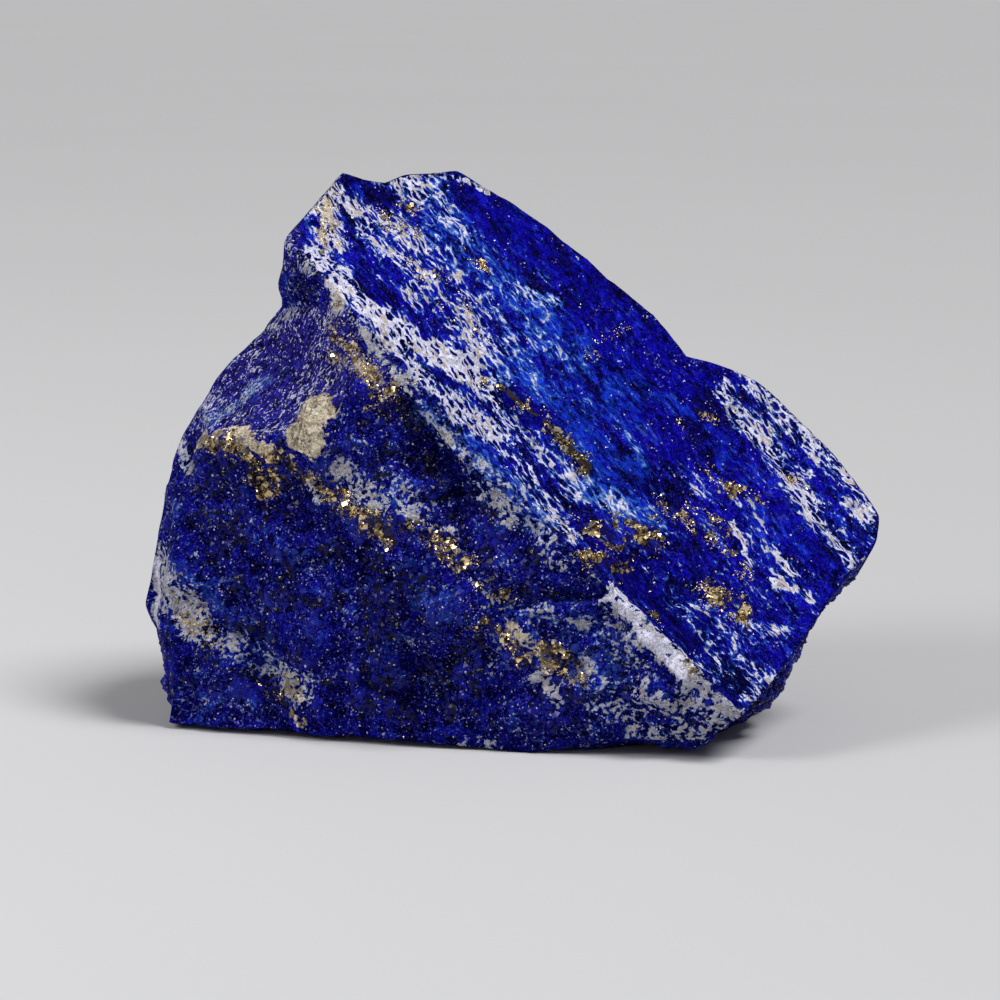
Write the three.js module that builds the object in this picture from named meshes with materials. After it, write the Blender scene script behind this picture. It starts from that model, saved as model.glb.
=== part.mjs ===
// A rough block of lapis lazuli, broken out of banded rock and left unpolished.
// It is one solid piece. Millimetres, +Z up, +X to the right along the longest side, -Y to the front.
// The origin is on the resting plane, under the middle of the block.
import * as THREE from "three";
import { ImprovedNoise } from "three/addons/math/ImprovedNoise.js";
import { TessellateModifier } from "three/addons/modifiers/TessellateModifier.js";
import { mergeVertices } from "three/addons/utils/BufferGeometryUtils.js";

// Driving dimensions

// Corners where the breaks meet. The block is 74 mm wide, 42 mm deep and 55 mm high.
const corners = {
  // top of the raised end
  peakLeft: [-17, 0.5, 55.5],
  peakNotch: [-12.8, 2.6, 54.2],
  peakStep: [-11.1, 3.6, 55.1],
  peakRight: [-5.6, 5.5, 55.4],
  // crest that falls from the top to the nose
  crestUpper: [3, 5, 50],
  crestMiddle: [12, 3, 42.5],
  crestStep: [18, 2, 37.3],
  crestLower: [25, 2, 34],
  crestEnd: [30.6, 1, 28.7],
  // nose at the right
  noseTop: [34.9, -1, 24],
  nose: [37, -3, 21.3],
  noseLow: [36.2, -5, 18.2],
  // lower rim of the banded face
  rimUpper: [33, -8, 16],
  rimMiddle: [28, -14.5, 10.5],
  rimLower: [24.2, -19, 6.8],
  toe: [22, -21.5, 5.2],
  // side of the raised end, and the notch below it
  blockLeft: [-22.5, -3, 49],
  blockFoot: [-23, -1, 42],
  notch: [-17.2, -8, 44.3],
  notchFoot: [-17.9, -6.5, 43],
  // ridge between the banded face and the front
  ridgeTop: [-16.2, -9, 43.3],
  ridgeHigh: [-11, -12.5, 36],
  ridgeMiddle: [-5, -15, 29],
  ridgeLow: [0.7, -16, 24.3],
  ridgeSaddle: [5, -17, 20.6],
  ridgeShoulder: [9.4, -17.6, 16],
  ridgeFoot: [16, -19.5, 11.2],
  // front, with a small ledge where its lower right part stands proud
  shelfRight: [-17.2, -12, 32.3],
  shelfLeft: [-26.8, -8, 29.5],
  frontMiddle: [-10, -14.8, 16],
  ledgeStart: [-1.8, -16, 14.1],
  ledgeLip: [4, -18, 14.5],
  ledgeBack: [4.3, -16.2, 15],
  frontFootLeft: [-22, -10.3, 0.7],
  frontFootMiddle: [-10, -13.8, 0.6],
  lipLeft: [8.5, -17.5, 1.9],
  lipRight: [18.2, -18.5, 1.6],
  // left side
  leftNeck: [-25, -0.5, 39.5],
  leftSlope: [-29, 0, 35.8],
  leftShoulder: [-33.6, 0, 28.4],
  leftUpper: [-35.3, -1, 22.5],
  leftBulge: [-37.2, -3, 12.4],
  cornerHigh: [-33.9, -5, 23],
  cornerLow: [-33.8, -7, 9.3],
  cornerFoot: [-34.6, -6, 0.6],
  // back
  spurHigh: [-19, 8, 46],
  backHigh: [-2, 14, 45],
  backShoulder: [15, 12, 34],
  backNose: [31, 7, 21],
  backLeft: [-31, 10, 26],
  backMiddle: [-12, 20, 26],
  backRight: [9, 20.5, 21],
  backLow: [25, 13, 12],
  // resting break
  baseLeft: [-34.3, 3, 0],
  baseFrontLeft: [-24, -6.5, 0],
  baseFrontMiddle: [-10, -11, 0],
  baseFrontRight: [1.7, -15.8, 0],
  baseToe: [11, -13.5, 0],
  baseRightFront: [19, -8, 0],
  baseRight: [26, 2, 0],
  baseBackRight: [17, 14, 0],
  baseBack: [-6, 19, 0],
  baseBackLeft: [-26, 13, 0],
};

// How each kind of break is shaped: slow swells, coarse lumps and long layers, heights in millimetres.
const breaks = {
  layered: { swell: 0.35, lumps: 0.15, layers: 0.4 },
  shelly: { swell: 0.4, lumps: 0.2, layers: 0 },
  rough: { swell: 0.6, lumps: 0.5, layers: 0 },
  resting: { swell: 0, lumps: 0, layers: 0 },
};
const swellSize = 13;
const lumpSize = 6;
const layerWidth = 6.5;
const layerLength = 40;
const layerFrom = "ridgeTop";
const layerTo = "toe";

// Dents (below the face) and lumps (above it), each with its middle, reach and height.
const dents = {
  pocketUnderRidge: { at: [-7.4, -13.5, 28.2], reach: 7.5, height: -2.4 },
  pocketAtCrust: { at: [-12.5, -11.5, 32], reach: 4, height: -0.9 },
  recessOverLedge: { at: [6.5, -16, 17], reach: 3.6, height: -0.8 },
  hollowByVein: { at: [13, -16.5, 17.5], reach: 6, height: -0.9 },
  hollowBelowCrest: { at: [16, 0, 37], reach: 4.5, height: -0.7 },
  paleKnob: { at: [-19.6, -11.2, 32.4], reach: 2.8, height: 1.1 },
  footKnob: { at: [-22, -9.8, 4.5], reach: 3, height: 0.7 },
  bulgeOnFront: { at: [-22, -9.5, 16], reach: 10, height: 0.9 },
  scarOnFront: { at: [-6, -15, 8], reach: 6, height: -0.7 },
  scarOnBack: { at: [-4, 21, 24], reach: 11, height: -1.6 },
  scarOnLeft: { at: [-36, 5, 14], reach: 8, height: -1.2 },
  scarBehindCrest: { at: [12, 10, 39], reach: 8, height: -1.2 },
};

// Long grooves and ribs: some follow the layers of the banded face, some the crust on the front.
const grooves = {
  darkSeam: { from: [-3.4, -8, 36.3], to: [7.1, -13, 27.5], reach: 2.8, height: -0.7 },
  upperSeam: { from: [-10, -5, 44], to: [4, -7, 35], reach: 3, height: -0.4 },
  crestStepEdge: { from: [18.2, 1.5, 37.4], to: [22.2, -4.5, 28.1], reach: 2.8, height: -0.6 },
  crustBand: { from: [-31, -4.5, 28.8], to: [-19, -11.2, 30.2], reach: 2.8, height: 0.9 },
  crustPatch: { from: [-15.6, -10.5, 35.5], to: [-12.4, -12, 34.8], reach: 3, height: 0.6 },
  underCrust: { from: [-29, -6.5, 24.5], to: [-17, -12.5, 26.5], reach: 3.2, height: -0.8 },
  veinRib: { from: [10.5, -17.6, 15.5], to: [20, -21, 7], reach: 2, height: 0.5 },
};

const longestEdge = 2.9;
const edgeSplits = 40;
const easingRounds = 10;
// How much of the swells, lumps and layers reaches the sharp edges between breaks, and how far two
// breaks turn (1 less the cosine) for the edge between them to be sharp.
const edgeShare = 0.3;
const sharpTurn = 0.3;
// Where in the noise each kind of relief starts.
const swellStart = 0.31;
const lumpStart = 5.17;
const layerStart = 0.5;
const lapisBlue = 0x1b2590;

// Breaks of the block: each a ring of corners, anticlockwise from outside, and the way it is broken.
const facets = [
  {
    breakKind: "layered",
    ring: "peakLeft blockLeft notch ridgeTop ridgeHigh ridgeMiddle ridgeLow ridgeSaddle ridgeShoulder " +
      "ridgeFoot toe rimLower rimMiddle rimUpper noseLow nose noseTop crestEnd crestLower crestStep " +
      "crestMiddle crestUpper peakRight peakStep peakNotch",
  },
  { breakKind: "rough", ring: "blockLeft blockFoot notchFoot notch" },
  { breakKind: "rough", ring: "notch notchFoot ridgeTop" },
  { breakKind: "rough", ring: "ridgeTop notchFoot shelfRight ridgeHigh" },
  { breakKind: "shelly", ring: "blockFoot leftNeck leftSlope leftShoulder shelfLeft shelfRight notchFoot" },
  {
    breakKind: "rough",
    ring: "ridgeHigh shelfRight frontMiddle ledgeStart ledgeBack ridgeShoulder ridgeSaddle " +
      "ridgeLow ridgeMiddle",
  },
  { breakKind: "rough", ring: "ledgeStart ledgeLip ledgeBack" },
  { breakKind: "rough", ring: "ledgeLip ridgeShoulder ledgeBack" },
  {
    breakKind: "rough",
    ring: "ledgeStart baseFrontRight lipLeft lipRight toe ridgeFoot ridgeShoulder ledgeLip",
  },
  {
    breakKind: "rough",
    ring: "shelfRight shelfLeft leftShoulder cornerHigh cornerLow cornerFoot frontFootLeft " +
      "frontFootMiddle baseFrontRight ledgeStart frontMiddle",
  },
  { breakKind: "rough", ring: "leftShoulder leftUpper leftBulge cornerLow cornerHigh" },
  { breakKind: "rough", ring: "cornerLow leftBulge baseLeft cornerFoot" },
  { breakKind: "rough", ring: "cornerFoot baseLeft baseFrontLeft frontFootLeft" },
  { breakKind: "rough", ring: "frontFootLeft baseFrontLeft baseFrontMiddle frontFootMiddle" },
  { breakKind: "rough", ring: "frontFootMiddle baseFrontMiddle baseFrontRight" },
  { breakKind: "rough", ring: "baseFrontRight baseToe lipLeft" },
  { breakKind: "rough", ring: "lipLeft baseToe baseRightFront lipRight" },
  { breakKind: "rough", ring: "lipRight baseRightFront rimLower toe" },
  { breakKind: "rough", ring: "rimLower baseRightFront baseRight rimMiddle" },
  { breakKind: "rough", ring: "rimMiddle baseRight rimUpper" },
  { breakKind: "rough", ring: "nose noseLow rimUpper baseRight backLow backNose" },
  { breakKind: "rough", ring: "crestEnd noseTop nose backNose" },
  { breakKind: "shelly", ring: "crestMiddle crestStep backShoulder" },
  { breakKind: "shelly", ring: "crestStep crestLower backShoulder" },
  { breakKind: "shelly", ring: "crestLower crestEnd backNose backShoulder" },
  { breakKind: "shelly", ring: "peakRight crestUpper crestMiddle backShoulder backHigh" },
  { breakKind: "rough", ring: "peakLeft peakNotch backHigh spurHigh" },
  { breakKind: "rough", ring: "peakNotch peakStep backHigh" },
  { breakKind: "rough", ring: "peakStep peakRight backHigh" },
  { breakKind: "rough", ring: "peakLeft spurHigh blockFoot blockLeft" },
  { breakKind: "rough", ring: "blockFoot spurHigh backLeft leftSlope leftNeck" },
  { breakKind: "rough", ring: "leftSlope backLeft leftShoulder" },
  { breakKind: "rough", ring: "leftShoulder backLeft leftUpper" },
  { breakKind: "rough", ring: "leftUpper backLeft baseBackLeft baseLeft leftBulge" },
  { breakKind: "rough", ring: "spurHigh backHigh backMiddle backLeft" },
  { breakKind: "shelly", ring: "backHigh backShoulder backRight backMiddle" },
  { breakKind: "rough", ring: "backShoulder backNose backLow backRight" },
  { breakKind: "rough", ring: "backLeft backMiddle baseBack baseBackLeft" },
  { breakKind: "rough", ring: "backMiddle backRight baseBackRight baseBack" },
  { breakKind: "rough", ring: "backRight backLow baseRight baseBackRight" },
  {
    breakKind: "resting",
    ring: "baseBackLeft baseBack baseBackRight baseRight baseRightFront baseToe baseFrontRight " +
      "baseFrontMiddle baseFrontLeft baseLeft",
  },
];

const noise = new ImprovedNoise();
const cornerPoint = (name) => new THREE.Vector3(...corners[name]);
const ringPoints = (facet) => facet.ring.split(" ").map(cornerPoint);

// The mean normal of a ring of points that need not be quite flat.
function ringNormal(ring) {
  const normal = new THREE.Vector3();
  ring.forEach((point, i) => normal.add(point.clone().cross(ring[(i + 1) % ring.length])));
  return normal.normalize();
}

// One facet as triangles with edges no longer than longestEdge, all facing out.
function facetGeometry(facet) {
  const ring = ringPoints(facet);
  const normal = ringNormal(ring);
  const along = ring[1].clone().sub(ring[0]).projectOnPlane(normal).normalize();
  const across = normal.clone().cross(along);
  const flat = ring.map((point) => new THREE.Vector2(point.dot(along), point.dot(across)));
  const positions = [];
  for (const [a, b, c] of THREE.ShapeUtils.triangulateShape(flat, [])) {
    const facing = new THREE.Triangle(ring[a], ring[b], ring[c]).getNormal(new THREE.Vector3());
    const order = facing.dot(normal) < 0 ? [a, c, b] : [a, b, c];
    order.forEach((i) => positions.push(...ring[i].toArray()));
  }
  const geometry = new THREE.BufferGeometry();
  geometry.setAttribute("position", new THREE.Float32BufferAttribute(positions, 3));
  return new TessellateModifier(longestEdge, edgeSplits).modify(geometry);
}

// All facets in one closed skin, with the facets that meet at each vertex.
function closedSkin() {
  const positions = [];
  const facetOfTriangle = [];
  facets.forEach((facet) => {
    const triangles = facetGeometry(facet).getAttribute("position").array;
    for (let i = 0; i < triangles.length; i += 9) facetOfTriangle.push(facet);
    for (const value of triangles) positions.push(value);
  });
  const loose = new THREE.BufferGeometry();
  loose.setAttribute("position", new THREE.Float32BufferAttribute(positions, 3));
  const skin = mergeVertices(loose, 1e-3);
  const count = skin.getAttribute("position").count;
  const meeting = Array.from({ length: count }, () => new Set());
  const neighbours = Array.from({ length: count }, () => new Set());
  const index = skin.index.array;
  for (let i = 0; i < index.length; i += 3) {
    const triangle = [index[i], index[i + 1], index[i + 2]];
    for (const v of triangle) {
      meeting[v].add(facetOfTriangle[i / 3]);
      triangle.forEach((w) => w !== v && neighbours[v].add(w));
    }
  }
  return { skin, meeting, neighbours };
}

// Evens out the folds that triangulation leaves inside a facet, and keeps the facet's edges.
function easeFolds({ skin, meeting, neighbours }) {
  const place = skin.getAttribute("position");
  const inside = meeting.map((set) => set.size === 1);
  const point = new THREE.Vector3();
  for (let round = 0; round < easingRounds; round++) {
    const eased = place.array.slice();
    for (let v = 0; v < place.count; v++) {
      if (!inside[v]) continue;
      const mean = new THREE.Vector3();
      neighbours[v].forEach((w) => mean.add(point.fromBufferAttribute(place, w)));
      mean.multiplyScalar(1 / neighbours[v].size).toArray(eased, v * 3);
    }
    place.array.set(eased);
  }
}

// A smooth hump: 1 at the middle, 0 at the reach.
function hump(distance, reach) {
  return 1 - THREE.MathUtils.smoothstep(distance, 0, reach);
}

const noiseAt = (point, size, shift) =>
  noise.noise(point.x / size + shift, point.y / size + shift, point.z / size + shift);

const layerAlong = cornerPoint(layerTo).sub(cornerPoint(layerFrom)).normalize();
const layerNormal = ringNormal(ringPoints(facets[0]));
const layerAcross = layerNormal.clone().cross(layerAlong);

// How far the surface stands above (or below) its facets at a point.
function relief(point, kind) {
  let height = kind.swell * 2 * noiseAt(point, swellSize, swellStart);
  height += kind.lumps * 2 * noiseAt(point, lumpSize, lumpStart);
  height += kind.layers * 2 *
    noise.noise(point.dot(layerAcross) / layerWidth, point.dot(layerAlong) / layerLength, layerStart);
  for (const dent of Object.values(dents)) {
    height += dent.height * hump(point.distanceTo(new THREE.Vector3(...dent.at)), dent.reach);
  }
  const nearest = new THREE.Vector3();
  for (const groove of Object.values(grooves)) {
    const line = new THREE.Line3(new THREE.Vector3(...groove.from), new THREE.Vector3(...groove.to));
    line.closestPointToPoint(point, true, nearest);
    height += groove.height * hump(point.distanceTo(nearest), groove.reach);
  }
  return height;
}

// The mean of the kinds of break that meet at a vertex, held back where they meet at a sharp edge.
function mixedBreak(meeting) {
  const mixed = { swell: 0, lumps: 0, layers: 0 };
  const normals = [...meeting].map((facet) => ringNormal(ringPoints(facet)));
  const turn = 1 - Math.min(...normals.map((normal) => normal.dot(normals[0])));
  const hold = THREE.MathUtils.lerp(1, edgeShare, THREE.MathUtils.smoothstep(turn, 0, sharpTurn));
  for (const facet of meeting) {
    for (const name of Object.keys(mixed)) mixed[name] += hold * breaks[facet.breakKind][name] / meeting.size;
  }
  return mixed;
}

// Moves each vertex along its normal by the relief. The resting break stays on the resting plane.
function breakSurface({ skin, meeting }) {
  skin.computeVertexNormals();
  const place = skin.getAttribute("position");
  const normals = skin.getAttribute("normal");
  for (let v = 0; v < place.count; v++) {
    const point = new THREE.Vector3().fromBufferAttribute(place, v);
    const normal = new THREE.Vector3().fromBufferAttribute(normals, v);
    const rests = [...meeting[v]].some((facet) => facet.breakKind === "resting");
    const inside = rests && meeting[v].size === 1;
    if (inside) continue;
    if (rests) normal.setZ(0);
    point.addScaledVector(normal, relief(point, mixedBreak(meeting[v])));
    place.setXYZ(v, point.x, point.y, rests ? 0 : Math.max(point.z, 0));
  }
  skin.deleteAttribute("normal");
}

// The finished block, moved so that the origin is under the middle of its box.
function stoneGeometry() {
  const shell = closedSkin();
  easeFolds(shell);
  breakSurface(shell);
  const { skin } = shell;
  skin.computeBoundingBox();
  const middle = skin.boundingBox.getCenter(new THREE.Vector3());
  skin.translate(-middle.x, -middle.y, -skin.boundingBox.min.z);
  skin.computeVertexNormals();
  return skin;
}

const lapis = new THREE.MeshStandardMaterial({ color: lapisBlue, roughness: 0.55, metalness: 0 });
const stone = new THREE.Mesh(stoneGeometry(), lapis);
stone.name = "lapis_stone";

const specimen = new THREE.Group();
specimen.add(stone);

export default specimen;
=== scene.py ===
"""Looks of one rough block of lapis lazuli: banded blue rock with white veins and gold grains."""

from __future__ import annotations

import logging
import math
from dataclasses import asdict, dataclass
from enum import Enum, IntEnum
from typing import Optional, Sequence, Union

import bmesh
import bpy
import numpy as np
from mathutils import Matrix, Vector
from mathutils import noise as rock_noise
from mathutils.bvhtree import BVHTree


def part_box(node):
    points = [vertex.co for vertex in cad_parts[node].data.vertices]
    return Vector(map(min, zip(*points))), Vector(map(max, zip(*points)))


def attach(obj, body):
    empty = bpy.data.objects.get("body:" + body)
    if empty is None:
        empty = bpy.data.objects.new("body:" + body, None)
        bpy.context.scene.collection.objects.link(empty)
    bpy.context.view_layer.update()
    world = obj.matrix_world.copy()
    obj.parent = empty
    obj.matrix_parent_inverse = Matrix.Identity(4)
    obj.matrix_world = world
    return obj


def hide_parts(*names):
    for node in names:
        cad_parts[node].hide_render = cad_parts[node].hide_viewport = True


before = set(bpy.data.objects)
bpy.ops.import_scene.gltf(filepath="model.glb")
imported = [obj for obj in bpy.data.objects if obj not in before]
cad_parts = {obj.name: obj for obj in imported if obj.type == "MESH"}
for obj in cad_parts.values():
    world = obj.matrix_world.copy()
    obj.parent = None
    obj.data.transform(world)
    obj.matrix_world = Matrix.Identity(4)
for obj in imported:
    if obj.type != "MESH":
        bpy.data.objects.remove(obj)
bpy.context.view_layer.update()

LOG = logging.getLogger("lapis")
MM = 0.001
CLUMP_SIZE = 1.5
MIDDLE = (0.5, 0.5, 0.5)
GRAIN_TONE = "tone"
STONE_NODE = "lapis_stone"
STONE_BODY = "root"

Colour = tuple[float, float, float]
Sizes = tuple[float, float, float]
Pixel = tuple[float, float]
Span = tuple[float, float]
Feed = Union[float, Sequence[float], bpy.types.NodeSocket]


class Mineral(Enum):
    """What a mark on the stone brings out. The value is the name of the mesh attribute."""

    CALCITE = "calcite"
    PALE = "pale"
    DEEP = "deep"
    PYRITE = "pyrite"
    CRUST = "crust"
    # Darker rock, and painted shade in the pocket, under ledges and crust, along the foot and on faces
    # turned from the light.
    NIGHT = "night"


class Zone(Enum):
    """Zones of the block that break in their own way. The value is the name of the mesh attribute."""

    LAYERED = "layered"
    SHOULDER = "shoulder"
    EDGE = "edge"
    RELIEF = "relief"
    ROUGH = "rough"


@dataclass(frozen=True)
class Mark:
    """One patch or streak of a mineral, placed by pixels of the photograph.

    The path lies on the stone where the photograph shows it, and may be a single point. Width is in
    millimetres, from the middle of the streak to where it fades out. An amount of 1 fills the middle with
    the mineral, and more fills the fading edge as well. Ragged is how far the outline frays.
    """

    name: str
    mineral: Mineral
    path: tuple[Pixel, ...]
    width: float
    amount: float
    ragged: float = 1.0


CALCITE, PALE, DEEP, PYRITE, CRUST, NIGHT = Mineral

# Banded face: white and pale streaks
BANDED_MARKS = (
    Mark("chip at the peak", CALCITE, ((352, 206),), 1.2, 0.85),
    Mark("white end of the top", CALCITE, ((334, 192), (326, 214), (334, 242), (313, 262)), 2.0, 0.6),
    Mark("white below the top", CALCITE, ((325, 262), (350, 282), (370, 302)), 1.2, 0.56),
    Mark("ridge strip, upper", CALCITE, ((375, 312), (420, 345), (474, 374)), 2.1, 0.78),
    Mark("ridge strip, lower", CALCITE, ((384, 335), (440, 395), (494, 434)), 1.7, 0.64),
    Mark("ridge edge line", CALCITE, ((352, 316), (400, 380), (452, 442)), 0.7, 0.6),
    Mark("top mottling", CALCITE, ((400, 180), (448, 210), (474, 242)), 2.4, 0.5),
    Mark("upper mottling", CALCITE, ((365, 205), (395, 245), (440, 288), (486, 345)), 4.6, 0.5),
    Mark("middle mottling", CALCITE, ((440, 232), (490, 288), (530, 322), (570, 350)), 3.2, 0.34),
    Mark("middle patch", CALCITE, ((520, 292), (562, 304)), 1.3, 0.58),
    # Painted highlights along the crest
    Mark("crest edge, upper", CALCITE, ((456, 176), (490, 193)), 0.5, 0.7),
    Mark("crest edge, lower", CALCITE, ((556, 240), (618, 292)), 0.45, 0.55),
    Mark("beside the seam", CALCITE, ((480, 385), (515, 425), (560, 472), (600, 502)), 1.5, 0.5),
    Mark("right band", CALCITE, ((722, 392), (745, 424), (766, 448), (796, 480)), 2.8, 0.6),
    Mark("right band, foot", CALCITE, ((800, 496), (826, 527), (848, 558)), 1.5, 0.66),
    Mark("right mottling", CALCITE, ((742, 384), (800, 430)), 2.8, 0.5),
    Mark("nose mottling", CALCITE, ((806, 436), (848, 490), (866, 518)), 1.9, 0.53),
    Mark("right streaks", CALCITE, ((700, 470), (760, 540), (806, 590)), 4.0, 0.24),
    Mark("rim streaks", CALCITE, ((680, 600), (730, 655), (756, 690)), 3.6, 0.42),
    Mark("short streak one", CALCITE, ((732, 523), (749, 563)), 0.6, 0.7),
    Mark("short streak two", CALCITE, ((778, 554), (795, 572)), 0.7, 0.7),
    Mark("thin streak, haze", CALCITE, ((608, 397), (643, 463)), 0.5, 0.5),
    Mark("thin streak, middle", CALCITE, ((667, 467), (707, 497)), 0.6, 0.56),
    Mark("thin streak, right", CALCITE, ((747, 500), (767, 530)), 0.6, 0.54),
    Mark("streak at the rim", CALCITE, ((779, 582), (812, 598)), 0.9, 0.7),
    Mark("saddle whites", CALCITE, ((560, 487), (596, 505)), 1.2, 0.5),
    Mark("saddle patch", CALCITE, ((612, 496), (634, 512)), 1.1, 0.58),
    Mark("ridge strip, foot", CALCITE, ((520, 472), (575, 535)), 1.8, 0.52),
    Mark("ridge strip, tail", CALCITE, ((494, 434), (530, 476), (560, 520)), 1.7, 0.54),
    Mark("ridge edge line, low", CALCITE, ((452, 442), (482, 462), (528, 508)), 0.8, 0.52),
    Mark("bold vein, upper", CALCITE, ((614, 598), (650, 638), (690, 677)), 1.5, 1.05),
    Mark("bold vein, lower", CALCITE, ((690, 677), (737, 713)), 1.2, 0.74),
    Mark("rim whites", CALCITE, ((738, 618), (782, 632)), 0.9, 0.55),
    Mark("rim whites, low", CALCITE, ((748, 665), (772, 678)), 0.8, 0.55),
    Mark("middle haze", PALE, ((450, 225), (510, 290), (560, 340), (620, 402)), 3.4, 0.55),
    Mark("seam haze", PALE, ((520, 372), (570, 420), (620, 474)), 3.0, 0.7),
    Mark("crest haze", PALE, ((478, 258), (557, 302)), 1.2, 0.6),
    Mark("right haze", PALE, ((668, 398), (720, 446)), 1.8, 0.35),
    Mark("thin haze", PALE, ((606, 394), (645, 466)), 0.8, 0.9),
    Mark("ridge haze", PALE, ((420, 412), (482, 462), (540, 520)), 1.5, 0.9),
    Mark("saddle haze", PALE, ((596, 490), (644, 516)), 1.8, 0.9),
    Mark("top haze", PALE, ((440, 190),), 1.2, 0.6),
    Mark("pure blue, crest", DEEP, ((490, 206), (560, 262), (620, 306)), 3.2, 1.0),
    Mark("pure blue, below the crest", DEEP, ((556, 272), (600, 310)), 2.0, 0.8),
    Mark("pure blue, middle", DEEP, ((604, 322), (660, 370), (704, 402)), 4.4, 1.0),
    Mark("pure blue, lower middle", DEEP, ((622, 404), (684, 444)), 2.6, 0.9),
    Mark("pure blue, top", DEEP, ((358, 184), (384, 200)), 1.3, 0.7),
    Mark("pure blue, left", DEEP, ((380, 266), (398, 280)), 1.0, 0.5),
    Mark("pure blue, right", DEEP, ((704, 424), (746, 456)), 1.9, 0.85),
    Mark("pure blue, nose", DEEP, ((765, 505), (800, 540), (832, 562)), 1.5, 0.85),
    Mark("cobalt by the seam", DEEP, ((560, 416), (604, 450), (644, 476)), 2.0, 0.8),
    Mark("pure blue, by the vein", DEEP, ((604, 550), (650, 596), (690, 645)), 1.4, 0.7),
)

# Banded face: gold
BANDED_GOLD = (
    Mark("gold at the saddle", PYRITE, ((586, 530), (642, 536)), 1.8, 1.0),
    Mark("gold below the saddle", PYRITE, ((586, 553), (622, 571)), 1.2, 0.95),
    Mark("gold in the middle", PYRITE, ((668, 505), (722, 532)), 1.2, 0.75),
    Mark("gold near the rim", PYRITE, ((712, 590), (742, 613)), 1.3, 0.95),
    Mark("gold above the rim", PYRITE, ((720, 538), (743, 577)), 1.0, 0.55),
    Mark("gold beside the vein", PYRITE, ((652, 612), (696, 676)), 0.6, 0.75),
    Mark("gold at the right", PYRITE, ((724, 488), (758, 502)), 0.8, 0.85),
    Mark("gold in the haze", PYRITE, ((697, 410), (712, 420)), 0.6, 0.7),
    Mark("gold streak, right", PYRITE, ((680, 423), (713, 480)), 0.5, 0.5),
    Mark("gold at the nose", PYRITE, ((784, 473), (804, 486)), 0.7, 0.75),
    Mark("gold under the crest", PYRITE, ((588, 352), (626, 330)), 0.8, 0.32),
    Mark("gold at the top", PYRITE, ((380, 216), (412, 236)), 1.0, 0.6),
    Mark("gold in the mottling", PYRITE, ((420, 262), (452, 300), (480, 330)), 1.6, 0.36),
    Mark("gold spot, top", PYRITE, ((407, 202), (420, 209)), 0.7, 0.7),
    Mark("gold spot, crest", PYRITE, ((474, 257), (486, 268)), 0.7, 0.8),
    Mark("gold in the seam", PYRITE, ((486, 378), (540, 418), (586, 470)), 0.8, 0.62),
    Mark("brown seam", CRUST, ((500, 388), (540, 418), (588, 470)), 0.65, 0.62),
    Mark("stain at the top", PYRITE, ((316, 206), (332, 236)), 1.4, 0.35),
    Mark("cream at the top", CRUST, ((332, 194), (324, 222), (330, 250)), 1.5, 0.46),
)

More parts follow.
